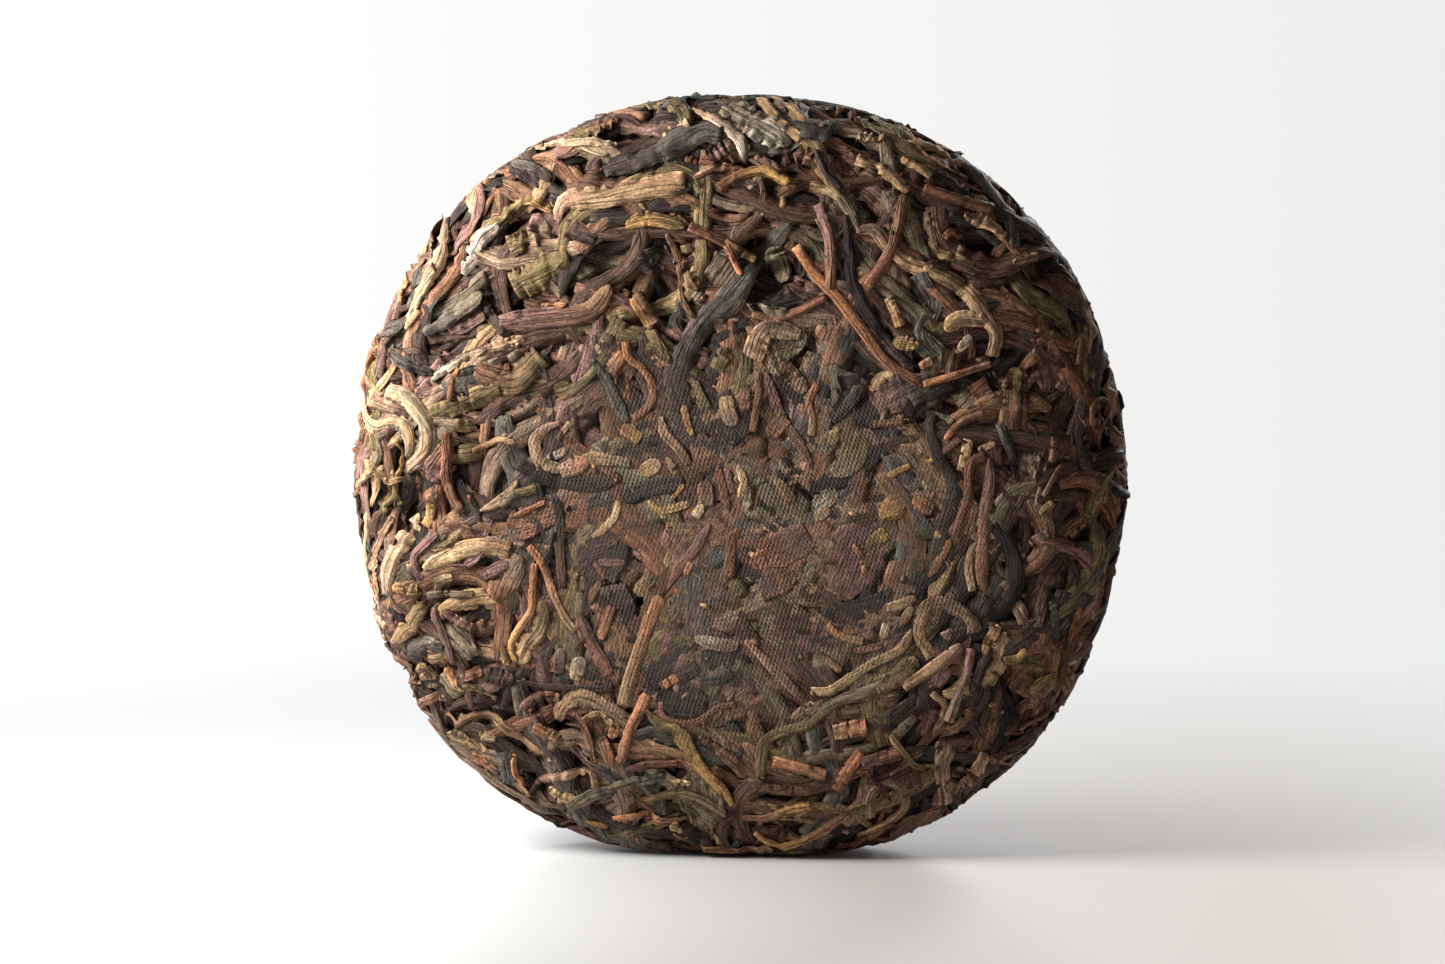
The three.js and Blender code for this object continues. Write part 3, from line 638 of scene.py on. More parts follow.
def chart_cells(points):
    """Flat places of the cells of both charts that the points are in. Place 0 holds misses."""
    arc = front_arc(points)
    around = np.arctan2(points[..., 2], points[..., 0])
    places = []
    for side, reach in enumerate((arc, 2 * HALF_ARC - arc)):
        column, row = (
            np.clip(((reach * part + CHART_REACH) / CELL + 1).astype(int), 1, CHART_CELLS - 1)
            for part in (np.cos(around), np.sin(around))
        )
        place = (side * CHART_CELLS + row) * CHART_CELLS + column
        places.append(np.where(reach < CHART_REACH, place, 0))
    return places


def point_at(arc, around):
    """The point of the form at an arc length from the front pole and an angle round the axis."""
    near = np.minimum(arc, 2 * HALF_ARC - arc)
    radius = np.interp(near, ARC_LENGTH, ARC_RADIUS)
    depth = np.interp(near, ARC_LENGTH, ARC_DEPTH)
    y = np.where(arc < HALF_ARC, -depth, depth)
    return np.stack([radius * np.cos(around), y, radius * np.sin(around)], axis=-1)


def spread_points(count, steps=4000, jitter=0.12):
    """Points spread evenly over the whole form, in a random order."""
    arc = np.linspace(0, 2 * HALF_ARC, steps)
    radius = np.hypot(*np.moveaxis(point_at(arc, 0 * arc), -1, 0)[[0, 2]])
    area = np.cumsum(radius)
    share = (np.arange(count) + rng.uniform(0, 1, count)) / count
    arcs = np.interp(share, area / area[-1], arc)
    turns = np.arange(count) * GOLDEN_SHARE % 1
    around = turns * FULL_TURN + rng.normal(0, jitter, count)
    order = rng.permutation(count)
    return settle(point_at(arcs[order], around[order]))


# The view, and the points of the form that it shows.

# Where the form is looked for, in radii before and behind the middle of the cake.
SEARCH = (-1.3, 0.4)


def view_axes():
    """The ways right, up and back to the camera."""
    azimuth, elevation = math.radians(VIEW_AZIMUTH), math.radians(VIEW_ELEVATION)
    back = np.array([
        math.sin(azimuth) * math.cos(elevation),
        -math.cos(azimuth) * math.cos(elevation),
        math.sin(elevation),
    ])
    right = np.array([math.cos(azimuth), math.sin(azimuth), 0.0])
    return right, np.cross(back, right), back


def seen_points(right_up, samples=120, rounds=12):
    """The points of the form seen at places right and up from the middle of the cake."""
    right, up, back = view_axes()
    eye = back * VIEW_DISTANCE
    ways = unit(right_up @ np.stack([right, up]) - eye)
    nearest, farthest = (VIEW_DISTANCE + radii * CAKE_RADIUS for radii in SEARCH)
    reach = np.linspace(nearest, farthest, samples)
    levels = form_level(eye + ways[..., None, :] * reach[:, None])
    inside = levels < 0
    hit = np.where(inside.any(axis=-1), inside.argmax(axis=-1), levels.argmin(axis=-1))
    far = reach[hit]
    near = reach[np.maximum(hit - 1, 0)]
    for _ in range(rounds):
        middle = (near + far) / 2
        within = form_level(eye + ways * middle[..., None]) < 0
        far = np.where(within, middle, far)
        near = np.where(within, near, middle)
    return settle(eye + ways * far[..., None])[0]


# Strips: where each one runs.

# Random strips follow the listed ones within the reach, and the rim with a pull that grows
# over a span of radii. They stray by some radians.
FLOW_REACH = 3.5
FLOW_LEAST_PULL = 0.01
FLOW_RIM_PULL = 3.0
FLOW_RIM = (0.6, 1.0)
FLOW_FREEDOM = 0.42

# A strip bends evenly, and by a wave with this many times the angle and this rate.
WAVY_BEND = 1.6
WAVY_RATE = 4.5

# Kinds that aren't spread over the face are moved to the back from inside this radius,
# where they lie before this depth.
FACE_RADIUS = 50
FACE_DEPTH = 4


def drawn_out(corners, least):
    """Corners moved apart where their run is shorter than the least length."""
    run = np.linalg.norm(np.diff(corners, axis=0), axis=1).sum()
    middle = corners.mean(axis=0)
    return middle + (corners - middle) * max(1, least / run)


def smooth_path(corners, stations, steps=12):
    """Evenly spaced stations on a smooth curve through the corners."""
    ends = [2 * corners[0] - corners[1], *corners, 2 * corners[-1] - corners[-2]]
    share = np.linspace(0, 1, steps, endpoint=False)[:, None]
    curve = []
    for before, first, second, after in zip(ends, ends[1:], ends[2:], ends[3:]):
        curve.append(
            first
            + 0.5 * share * (second - before)
            + share**2 * (before - 2.5 * first + 2 * second - 0.5 * after)
            + share**3 * (1.5 * first - 1.5 * second + 0.5 * (after - before))
        )
    curve = np.concatenate([*curve, corners[-1:]])
    run = np.concatenate([[0], np.cumsum(np.linalg.norm(np.diff(curve, axis=0), axis=1))])
    even = np.linspace(0, run[-1], stations)
    return np.stack([np.interp(even, run, curve[:, axis]) for axis in (0, 1)], axis=-1)


def flow_of(batches):
    """Points and ways of the listed strips, and of their like on the back, a quarter turn on."""
    points = np.concatenate([strips.points.reshape(-1, 3) for strips in batches])
    ways = [unit(np.gradient(strips.points, axis=1)).reshape(-1, 3) for strips in batches]
    quarter_turn = np.array([[0, 0, -1], [0, -1, 0], [1, 0, 0]])
    both = (points, np.concatenate(ways))
    return [np.concatenate([values, values @ quarter_turn]) for values in both]


def along_form(ways, outward):
    """Ways tipped until they lie along the form."""
    return unit(ways - outward * (ways * outward).sum(axis=-1, keepdims=True))


def turned(ways, outward, angle):
    """Ways along the form, turned about the way out of it."""
    return ways * np.cos(angle)[:, None] + np.cross(outward, ways) * np.sin(angle)[:, None]


def spread_headings(points, outward, flow):
    """The way of the listed strips nearby, and along the rim where there are few of them."""
    around = np.arctan2(points[:, 2], points[:, 0])
    along_rim = np.stack([-np.sin(around), 0 * around, np.cos(around)], axis=-1)
    reach = np.hypot(points[:, 0], points[:, 2]) / CAKE_RADIUS
    flow_points, flow_ways = flow
    away = ((points[:, None] - flow_points) ** 2).sum(axis=-1)
    pulls = (flow_ways[:, :, None] * flow_ways[:, None]).reshape(-1, 9)
    pull = (np.exp(-away / (2 * FLOW_REACH**2)) @ pulls).reshape(-1, 3, 3)
    rim_pull = FLOW_RIM_PULL * smoothstep(reach, *FLOW_RIM) + FLOW_LEAST_PULL
    pull = pull + rim_pull[:, None, None] * along_rim[:, :, None] * along_rim[:, None]
    way = along_form(np.linalg.eigh(pull)[1][:, :, -1], outward)
    return turned(way, outward, rng.normal(0, 1, len(points)) * FLOW_FREEDOM)


def walk(start, outward, heading, steps, bends):
    """Walks over the form. steps has one length a strip, and bends one angle a step."""
    points = []
    for bend in bends.T:
        heading = along_form(turned(heading, outward, bend), outward)
        start, outward = settle(start + heading * steps[:, None], rounds=3)
        points.append(start)
    return np.stack(points, axis=1)


def spread_paths(kind, flow):
    """Middle lines of a kind's strips, one row of stations each."""
    middle, outward = spread_points(kind.count)
    if not kind.face:
        within = np.hypot(middle[:, 0], middle[:, 2]) < FACE_RADIUS
        middle[within & (middle[:, 1] < -FACE_DEPTH)] *= np.array([1, -1, 1])
        middle, outward = settle(middle)
    heading = spread_headings(middle, outward, flow)
    length = between(kind.length, kind.count)
    half = kind.stations // 2
    step = length / (2 * half)
    along = np.arange(half) / half
    each_half = (2, kind.count, 1)
    even = rng.normal(0, kind.bend, each_half)
    wavy = rng.normal(0, kind.bend * WAVY_BEND, each_half)
    phase = between(ANY_ANGLE, each_half)
    bends = (even + wavy * np.sin(phase + along * WAVY_RATE)) * step[None, :, None]
    ahead = walk(middle, outward, heading, step, bends[0])
    behind = walk(middle, outward, heading, -step, -bends[1])
    return np.concatenate([behind[:, ::-1], middle[:, None], ahead], axis=1)


# Strips: how wide and thick each one is along its run.

# Some ends are torn off wide. Tapers, notches and thickness vary between strips by factors.
TORN_SHARE = 0.3
TORN_TIP = 0.5
WIDEST_TIP = 0.95
TAPER_FACTORS = (0.6, 1.4)
TAPER_LIMITS = (0.02, 0.9)
TAPER_POWER = 0.8
NOTCH_RATES = (0.35, 0.75, 1.3)
NOTCH_FACTORS = (0.7, 1.3)
THICKNESS_FACTORS = (0.75, 1.25)

# Strips of a few widths' length are stubby, and thinner where they were pressed. Listed
# ones are drawn out to the least run, in widths.
STUBBY = (1.5, 5)
STUBBY_LOSS = 0.6
LEAST_RUN = 1.7


@dataclass
class Strips:
    """Strips of one kind: their stations and the numbers that each one has of its own."""

    kind: Kind
    points: np.ndarray
    width: np.ndarray
    first: np.ndarray
    second: np.ndarray

    def __post_init__(self):
        self.points, self.outward = settle(self.points)
        ahead = np.gradient(self.points, axis=1)
        self.across = unit(np.cross(ahead, self.outward))
        self.pressed = pressed_share(self.points)
        self.count, self.stations = self.points.shape[:2]
        self.length = np.linalg.norm(np.diff(self.points, axis=1), axis=-1).sum(axis=1)
        self.along = np.linspace(0, 1, self.stations)
        self.shape_ends()
        self.level = np.zeros((self.count, self.stations))
        self.tilt = np.zeros((self.count, self.stations))
        self.order = between(self.kind.layer, self.count)

    def shape_ends(self):
        """Half the width and half the thickness at each station."""
        kind, each, both = self.kind, (self.count, 1), (2, self.count, 1)
        tips = between(kind.tip, both)
        torn = rng.random(both) < TORN_SHARE
        tips = np.minimum(tips + TORN_TIP * torn, WIDEST_TIP)
        tapers = np.clip(kind.taper * between(TAPER_FACTORS, both), *TAPER_LIMITS)
        ends = 1
        for tip, taper, along in zip(tips, tapers, (self.along, 1 - self.along)):
            growth = np.sin(np.clip(along / taper, 0, 1) * math.pi / 2) ** TAPER_POWER
            ends = ends * (tip + (1 - tip) * growth)
        run = self.along * self.length[:, None]
        notches = sum(
            np.sin(run * rate * between(NOTCH_FACTORS, each) + between(ANY_ANGLE, each))
            for rate in NOTCH_RATES
        )
        ends = ends * (1 + kind.notch * notches / 2)
        self.half_width = self.width[:, None] / 2 * ends
        thin = between(THICKNESS_FACTORS, each)
        stubby = 1 - smoothstep(self.length / self.width, *STUBBY)
        thin = thin * (1 - STUBBY_LOSS * stubby[:, None] * self.pressed)
        self.half_thick = self.width[:, None] / 2 * kind.flatness * thin * np.sqrt(ends)


def shown_strips(kind):
    """The listed strips of one kind, in the places where the view shows them."""
    rows = [row.split() for row in kind.rows.strip().split("\n")]
    words = [row[0].split("/") for row in rows]
    first = np.array([linear(pair[0]) for pair in words])
    second = np.array([linear(pair[-1]) for pair in words])
    width = np.array([float(row[1]) for row in rows])
    corners = [np.array(row[2:], dtype=float).reshape(-1, 2) for row in rows]
    corners = [drawn_out(points, LEAST_RUN * wide) for points, wide in zip(corners, width)]
    paths = seen_points(np.stack([smooth_path(points, kind.stations) for points in corners]))
    strips = Strips(kind, paths, width, first, second)
    low, high = kind.layer
    strips.order = low + (high - low) * np.arange(len(rows)) / len(rows)
    return strips


def spread_strips(kind, flow):
    """Strips of one kind at random over the cake."""
    words = list(kind.colours)
    weights = np.array([kind.colours[word] for word in words], dtype=float)
    colours = np.array([linear(word) for word in words])
    first, second = (rng.choice(len(words), kind.count, p=weights / weights.sum()) for _ in range(2))
    paths = spread_paths(kind, flow)
    spread = 1 + PRESSED_SPREAD * kind.face * pressed_share(paths[:, kind.stations // 2])
    width = between(kind.width, kind.count) * spread
    return Strips(kind, paths, width, colours[first], colours[second])


# Laying: each strip rests on what lies under it, and the cloth presses it down.

# A strip feels for what is under it, and raises the surface, at shares of its half width.
FEEL_AT = np.array([-0.6, 0, 0.6])
STAMP_AT = np.array([-0.85, -0.45, 0, 0.45, 0.85])

# It rests on the highest and the mean of what it feels, by two shares. Its stiffness evens
# that out over stations, but it sinks into bumps no deeper than this. It nests into what is
# under it, so that a share of its thickness counts, and tilts up to a limit. The cloth gives
# way to it by a share of what it gives way to in the end.
REST_SHARES = (0.7, 0.3)
STIFFNESS = np.array([1, 2, 3, 2, 1]) / 9
SINK = 0.1
NESTING = 0.8
LAYING_GIVE = 0.5
TILT_SPAN = 2.4
TILT_SOFTNESS = 0.3
TILT_LIMIT = 0.5
END_LIFT_POWER = 4


def soft_top(level, top, give, depth=1.0):
    """Lets a level rise above the top only by a share of it. Below, depths shrink to a share."""
    over = level - top
    return top + np.where(over > 0, give, depth) * over


def allowed_top(pressed, rise):
    """How high the cloth lets strips stand, and how soft it is. Deep ones get a lower top."""
    top = LOOSE_TOP + (PRESSED_TOP - LOOSE_TOP) * pressed + rise * (1 - PRESSED_RISE_LOSS * pressed)
    return top, LOOSE_GIVE + (PRESSED_GIVE - LOOSE_GIVE) * pressed


def in_between(values):
    """Adds the middle between every two stations, along the second axis."""
    doubled = np.repeat(values, 2, axis=1)[:, :-1].astype(float)
    doubled[:, 1::2] = (values[:, :-1] + values[:, 1:]) / 2
    return doubled


def prepare(strips):
    """Finds where strips feel and raise the charts, their tops, and ends that stand up."""
    sideways = strips.across[:, :, None] * strips.half_width[:, :, None, None]
    front, back = chart_cells(strips.points[:, :, None] + sideways * FEEL_AT[:, None])
    on_front = (strips.points[:, strips.stations // 2, 1] < 0)[:, None, None]
    strips.feel = np.where(on_front, front, back)
    stamp = in_between(strips.points[:, :, None] + sideways * STAMP_AT[:, None])
    strips.stamps = chart_cells(stamp)
    strips.top, strips.give = allowed_top(strips.pressed, strips.kind.rise)
    lift = np.abs(rng.normal(0, strips.kind.lift, (2, strips.count, 1)))
    early, late = (1 - strips.along) ** END_LIFT_POWER, strips.along**END_LIFT_POWER
    strips.ends = (lift[0] * early + lift[1] * late) * (1 - strips.pressed)


def lay(strips, index, surface):
    """Lays one strip on the surface and raises the surface by it."""
    under = surface[strips.feel[index]]
    thick = strips.half_thick[index]
    highest, mean = REST_SHARES
    rest = highest * under.max(axis=1) + mean * under.mean(axis=1)
    level = np.convolve(np.pad(rest, len(STIFFNESS) // 2, mode="edge"), STIFFNESS, mode="valid")
    level = np.maximum(level, rest - SINK) + NESTING * thick + strips.ends[index]
    give = LAYING_GIVE * strips.give[index]
    level = soft_top(level + thick, strips.top[index], give) - thick
    strips.level[index] = level
    slope = (under[:, 2] - under[:, 0]) / (TILT_SPAN * strips.half_width[index] + TILT_SOFTNESS)
    strips.tilt[index] = np.clip(slope, -TILT_LIMIT, TILT_LIMIT)
    dome = np.sqrt(1 - STAMP_AT**2)
    tops = in_between((level[:, None] + thick[:, None] * dome)[None])[0]
    for cells in strips.stamps:
        np.maximum.at(surface, cells[index], tops)
    surface[0] = -BED_DEPTH


def lay_all(batches):
    """Lays the strips of all batches in their order, and gives the surface they make."""
    for strips in batches:
        prepare(strips)
    jobs = [(strips.order[index], strips, index) for strips in batches for index in range(strips.count)]
    surface = np.full(2 * CHART_CELLS * CHART_CELLS, -BED_DEPTH)
    for _, strips, index in sorted(jobs, key=lambda job: job[0]):
        lay(strips, index, surface)
    return surface


# Meshes.

# Creases run lengthwise, one set of so many round a strip over another. The rates of drift,
# wobbles and waves are those of a strip with this run.
PATTERN_RUN = 20
CREASES = (2, 4, 5)
CREASE_MEAN = 2 / math.pi
CREASE_STRENGTH = (0.2, 1.3)
CREASE_DRIFT = 2.4
WOBBLE = (0, 0.9)
WOBBLE_RATE = (4, 14)

# The section is between an oval and a lens. It leans, and rises less than it moves sideways.
LENS_SHAPE = 0.35
LEAN = 0.14
LEAN_RISE = 0.6

# Edges curl up and waves run over broad leaves, slanting from one edge to the other.
CURL_MIDDLE = 0.4
CURL_SHARE = 0.5
WAVE_RATE = (6, 16)
WAVE_SLANT = 0.2

# Each strip has its own place in the grain of the materials, where heights count double.
GRAIN_PLACES = (0, 500)
GRAIN_THICKNESS = 2

# How the colours vary along a strip and across it.
BLOTCH_STRENGTH = (0, 0.45)
BLOTCH_RATE = (2, 6)
FADE_SHIFT = 0.06
FADE_SPAN = (0.15, 0.85)
EDGE_SPAN = (0.8, 1.0)
EDGE_FACTORS = (-0.3, 1)
EDGE_GLOW = 0.4

# The flat layout for baking: the gap between tubes, the place of a tube's closing points in
# it, the square's side for the tubes' area, and a tube's girth for its half width and half
# thickness.
LAYOUT_GAP = 0.5
LAYOUT_HUB = 0.8
LAYOUT_SPARE = 1.06
LAYOUT_GIRTH = 2.6


def crease_heights(strips, turn):
    """How far the creases raise the surface, as shares of its distance from the middle."""
    kind, each = strips.kind, (strips.count, 1, 1)
    along = strips.along[None, :, None]
    share = strips.length[:, None, None] / PATTERN_RUN
    ridge = np.zeros((strips.count, strips.stations, kind.sides))
    for lobes in CREASES:
        strength = kind.ridge * between(CREASE_STRENGTH, each)
        drift = rng.normal(0, CREASE_DRIFT, each) * share
        wobble = between(WOBBLE, each) * np.sin(along * share * between(WOBBLE_RATE, each))
        phase = between(ANY_ANGLE, each) + drift * along + wobble
        sharp_way = -1 if lobes == CREASES[0] else 1
        ridge += sharp_way * strength * (np.abs(np.cos((lobes * turn + phase) / 2)) - CREASE_MEAN)
    return ridge


def crumpled(strips, upward, flat):
    """Heights of the section with its curl and its waves."""
    kind, each = strips.kind, (strips.count, 1, 1)
    along = strips.along[None, :, None]
    curl = kind.curl * rng.normal(0, 1, each)
    upward = upward + curl * strips.half_width[:, :, None] * (flat**2 - CURL_MIDDLE) * CURL_SHARE
    if kind.wave:
        rate, slant = between(WAVE_RATE, (2, *each))
        share = strips.length[:, None, None] / PATTERN_RUN
        phase = between(ANY_ANGLE, each)
        waves = np.sin(rate * along * share + slant * flat * WAVE_SLANT + phase)
        upward = upward + kind.wave * waves
    return upward


def strip_surface(strips):
    """Vertices of the strips, and what they carry: strips by stations by sides."""
    kind, each = strips.kind, (strips.count, 1, 1)
    turn = np.arange(kind.sides) / kind.sides * FULL_TURN
    along = strips.along[None, :, None]
    ridge = crease_heights(strips, turn)
    wide, thick = strips.half_width[:, :, None], strips.half_thick[:, :, None]
    flat = np.cos(turn) * (1 + ridge)
    tall = np.sin(turn) * np.abs(np.sin(turn)) ** LENS_SHAPE * (1 + ridge)
    lean = rng.normal(0, LEAN, each) + kind.twist * rng.normal(0, 1, each) * (along - 0.5)
    lean = lean * (1 - PRESSED_LEAN_LOSS * strips.pressed)[:, :, None]
    sideways = wide * flat * np.cos(lean) - thick * tall * np.sin(lean)
    upward = wide * flat * np.sin(lean) * LEAN_RISE + thick * tall * np.cos(lean)
    upward = crumpled(strips, upward, flat)
    middle = strips.points[:, :, None] + strips.across[:, :, None] * sideways[..., None]
    base, out = settle(middle, rounds=3)
    pressed = pressed_share(base)
    height = strips.level[:, :, None] + strips.tilt[:, :, None] * sideways + upward
    pushed = soft_top(height, *allowed_top(pressed, kind.rise), 1 - PRESSED_FILL * pressed)
    run = along * strips.length[:, None, None] + 0 * flat
    place = between(GRAIN_PLACES, each)
    grain = (run + place, wide * flat, thick * tall * GRAIN_THICKNESS + place)
    return {
        "vertices": base + out * pushed[..., None],
        "tint": strip_colours(strips, turn),
        # The marks carry the creases' heights, which the material turns into painted shade in the creases
        # and painted light on the ridges, and how hard the cloth pressed.
        "marks": np.stack([ridge / kind.ridge, pressed, 0 * ridge], axis=-1),
        "grain": np.stack(grain, axis=-1),
    }


def strip_colours(strips, turn):
    """Each strip fades from its first colour to its second, and is paler at its edges."""
    kind, each = strips.kind, (strips.count, 1, 1, 1)
    along = strips.along[None, :, None, None]
    if kind.rows:
        fade = smoothstep(along + rng.normal(0, FADE_SHIFT, each), *FADE_SPAN)
    else:
        strength = between(BLOTCH_STRENGTH, each)
        blotches = np.sin(along * between(BLOTCH_RATE, each) + between(ANY_ANGLE, each))
        fade = strength * (0.5 + 0.5 * blotches)
    bright = np.exp(rng.normal(0, kind.contrast, each))
    edge = smoothstep(np.abs(np.cos(turn)), *EDGE_SPAN)[:, None] * between(EDGE_FACTORS, each)
    colour = strips.first[:, None, None] * (1 - fade) + strips.second[:, None, None] * fade
    return colour * bright * (1 + EDGE_GLOW * np.clip(edge, 0, 1))


def stood_on_foot(points):
    """Points in the frame of the solid, flattened a little where the cake stands."""
    points = points + DISC_MIDDLE
    low = points[..., 2] < FOOT_SOFTNESS
    squeezed = FOOT_SOFTNESS * np.exp(np.minimum(points[..., 2] / FOOT_SOFTNESS - 1, 0))
    points[..., 2] = np.where(low, squeezed, points[..., 2])
    return points


def packed_rectangles(sizes):
    """Lower left corners for rectangles laid in rows, and the side of the square they fill."""
    side = math.sqrt((sizes[:, 0] * sizes[:, 1]).sum()) * LAYOUT_SPARE
    corners = np.zeros_like(sizes)
    across, up, row_height = 0.0, 0.0, 0.0
    for index in np.argsort(-sizes[:, 1]):
        if across + sizes[index, 0] > side:
            across, up, row_height = 0.0, up + row_height, 0.0
        corners[index] = across, up
        across += sizes[index, 0]
        row_height = max(row_height, sizes[index, 1])
    return corners, max(side, up + row_height)


def tube_faces(stations, sides):
    """Corners of one closed tube's faces, as places in its vertices and in its flat layout."""
    station, side = np.meshgrid(np.arange(stations - 1), np.arange(sides), indexing="ij")
    steps = ((0, 0), (0, 1), (1, 1), (1, 0))
    vertex = [(station + up) * sides + (side + on) % sides for up, on in steps]
    layout = [(station + up) * (sides + 1) + side + on for up, on in steps]
    quads, quad_layout = (np.stack(places, axis=-1).reshape(-1, 4) for places in (vertex, layout))
    side = np.arange(sides)

    def fans(row, following):
        """Triangles from the first and the last ring to the two hubs behind all rings."""
        last, hub = (stations - 1) * row, stations * row
        return np.concatenate([
            np.stack([following, side, np.full(sides, hub)], axis=-1),
            np.stack([last + side, last + following, np.full(sides, hub + 1)], axis=-1),
        ])

    return quads, quad_layout, fans(sides, (side + 1) % sides), fans(sides + 1, side + 1)


def tube_arrays(surface, lengths, girths):
    """All tubes of one batch as flat arrays: vertices, what they carry, faces and layout."""
    count, stations, sides = surface["vertices"].shape[:3]
    quads, quad_layout, fans, fan_layout = tube_faces(stations, sides)

    def with_hubs(values):
        hubs = values[:, [0, -1]].mean(axis=2)
        return np.concatenate([values.reshape(count, -1, 3), hubs], axis=1).reshape(-1, 3)

    sizes = np.stack([lengths, girths], axis=-1)
    corners, side = packed_rectangles(sizes + [2 * LAYOUT_GAP, LAYOUT_GAP])
    shares = np.meshgrid(np.linspace(0, 1, stations), np.linspace(0, 1, sides + 1), indexing="ij")
    flat = np.stack(shares, axis=-1).reshape(1, -1, 2) * sizes[:, None]
    beyond = LAYOUT_GAP * LAYOUT_HUB
    hubs = [np.stack([run, girths / 2], axis=-1) for run in (0 * lengths - beyond, lengths + beyond)]
    flat = np.concatenate([flat, *(hub[:, None] for hub in hubs)], axis=1)
    flat = (flat + corners[:, None] + [LAYOUT_GAP, LAYOUT_GAP / 2]) / (side + LAYOUT_GAP)
    tube = np.arange(count)[:, None, None]
    vertex_jump = tube * (stations * sides + 2)
    layout_jump = tube * (stations * (sides + 1) + 2)
    return {word: with_hubs(values) for word, values in surface.items()} | {
        "quads": (quads + vertex_jump).reshape(-1, 4),
        "fans": (fans + vertex_jump).reshape(-1, 3),
        "layout": flat.reshape(-1, 2),
        "quad_layout": (quad_layout + layout_jump).reshape(-1, 4),
        "fan_layout": (fan_layout + layout_jump).reshape(-1, 3),
    }


def new_mesh(name, arrays):
    """A smooth mesh in metres from flat arrays, with its layout and what its vertices carry."""
    mesh = bpy.data.meshes.new(name)
    vertices = stood_on_foot(arrays["vertices"]) * MM
    corners = np.concatenate([arrays["quads"].ravel(), arrays["fans"].ravel()])
    layout = np.concatenate([arrays["quad_layout"].ravel(), arrays["fan_layout"].ravel()])
    sizes = np.concatenate([np.full(len(arrays["quads"]), 4), np.full(len(arrays["fans"]), 3)])
    mesh.vertices.add(len(vertices))
    mesh.vertices.foreach_set("co", vertices.ravel())
    mesh.loops.add(len(corners))
    mesh.loops.foreach_set("vertex_index", corners)
    mesh.polygons.add(len(sizes))
    mesh.polygons.foreach_set("loop_start", np.concatenate([[0], np.cumsum(sizes)[:-1]]))
    mesh.polygons.foreach_set("loop_total", sizes)
    mesh.update(calc_edges=True)
    mesh.shade_smooth()
    uv = mesh.uv_layers.new(name="OFBake")
    uv.data.foreach_set("uv", arrays["layout"][layout].ravel())
    tint = mesh.attributes.new("tint", "FLOAT_COLOR", "POINT")
    opaque = np.concatenate([arrays["tint"], np.ones((len(vertices), 1))], axis=1)
    tint.data.foreach_set("color", opaque.ravel())
    for word in ("marks", "grain"):
        attribute = mesh.attributes.new(word, "FLOAT_VECTOR", "POINT")
        attribute.data.foreach_set("vector", arrays[word].ravel())
    return mesh


def new_object(name, data):
    thing = bpy.data.objects.new(name, data)
    bpy.context.collection.objects.link(thing)
    return thing


def new_piece(name, arrays, material):
    """A piece from flat arrays, riding on the cake's body."""
    mesh = new_mesh(name, arrays)
    mesh.materials.append(material)
    piece = new_object(name, mesh)
    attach(piece, "root")
    return piece


def strips_piece(strips, material):
    girth = (strips.half_width.max(axis=1) + strips.half_thick.max(axis=1)) * LAYOUT_GIRTH
    arrays = tube_arrays(strip_surface(strips), strips.length, girth)
    return new_piece(strips.kind.piece, arrays, material)


# Crumbs and the core.

# Crumbs are short tubes of a few rings, rough and a little flat. Their last rings are at a
# share of the way out. Their layout has this length and girth for a size of one.
CRUMB_COUNT = 500
CRUMB_SIZE = (0.4, 1.0)
CRUMB_RINGS = 3
CRUMB_SIDES = 5
CRUMB_END = 0.8
CRUMB_FACTORS = (0.6, 1.3)
CRUMB_FLATNESS = 0.7
CRUMB_RISE = -0.3
CRUMB_SHADES = (0.5, 1.2)
CRUMB_LAYOUT = (2, 3)

# How far the core stands over the bottom of the leaves, the distance from a pole at which
# it closes, and its lumps, which are waves of random ways.
CORE_RISE = 0.3
CORE_OPENING = 0.4
# The core's colour is dark brown at this share of its brightness, painted shade for the deep gaps where it
# shows.
CORE_PAINTED_SHADE = 0.5
LUMPS = 12
LUMP_LENGTH = (1.6, 5)
LUMP_HEIGHT = 0.13


def crumbs_piece(surface, material):
    """Broken bits that lie in the gaps and on the leaves."""
    each, shape = (CRUMB_COUNT, 1, 1), (CRUMB_COUNT, CRUMB_RINGS, CRUMB_SIDES)
    points, outward = spread_points(CRUMB_COUNT)
    cells = np.where(points[:, 1] < 0, *chart_cells(points))
    size = between(CRUMB_SIZE, each)
    heading = unit(np.cross(outward, rng.normal(0, 1, (CRUMB_COUNT, 3))))
    across = np.cross(outward, heading)
    along = np.linspace(-CRUMB_END, CRUMB_END, CRUMB_RINGS)[None, :, None]
    turn = np.arange(CRUMB_SIDES) / CRUMB_SIDES * FULL_TURN
    girth = np.sqrt(1 - along**2) * between(CRUMB_FACTORS, shape) * size / 2
    run = along * size * between(CRUMB_FACTORS, each) + 0 * girth
    parts = (run, np.cos(turn) * girth, np.sin(turn) * girth * CRUMB_FLATNESS)
    ways = (heading, across, outward)
    offsets = sum(part[..., None] * way[:, None, None] for part, way in zip(parts, ways))
    level = np.minimum(surface[cells], allowed_top(pressed_share(points), CRUMB_RISE)[0])
    vertices = (points + outward * level[:, None])[:, None, None] + offsets
    colours = np.array([linear(word) for word in BROWN_COLOURS])
    tint = colours[rng.integers(0, len(colours), CRUMB_COUNT)][:, None, None]
    tint = tint * between(CRUMB_SHADES, (*shape, 1))
    grain = offsets + between(GRAIN_PLACES, (*each, 1))
    carried = {"vertices": vertices, "tint": tint, "marks": 0 * vertices, "grain": grain}
    arrays = tube_arrays(carried, *(share * size[:, 0, 0] for share in CRUMB_LAYOUT))
    return new_piece("crumbs", arrays, material)


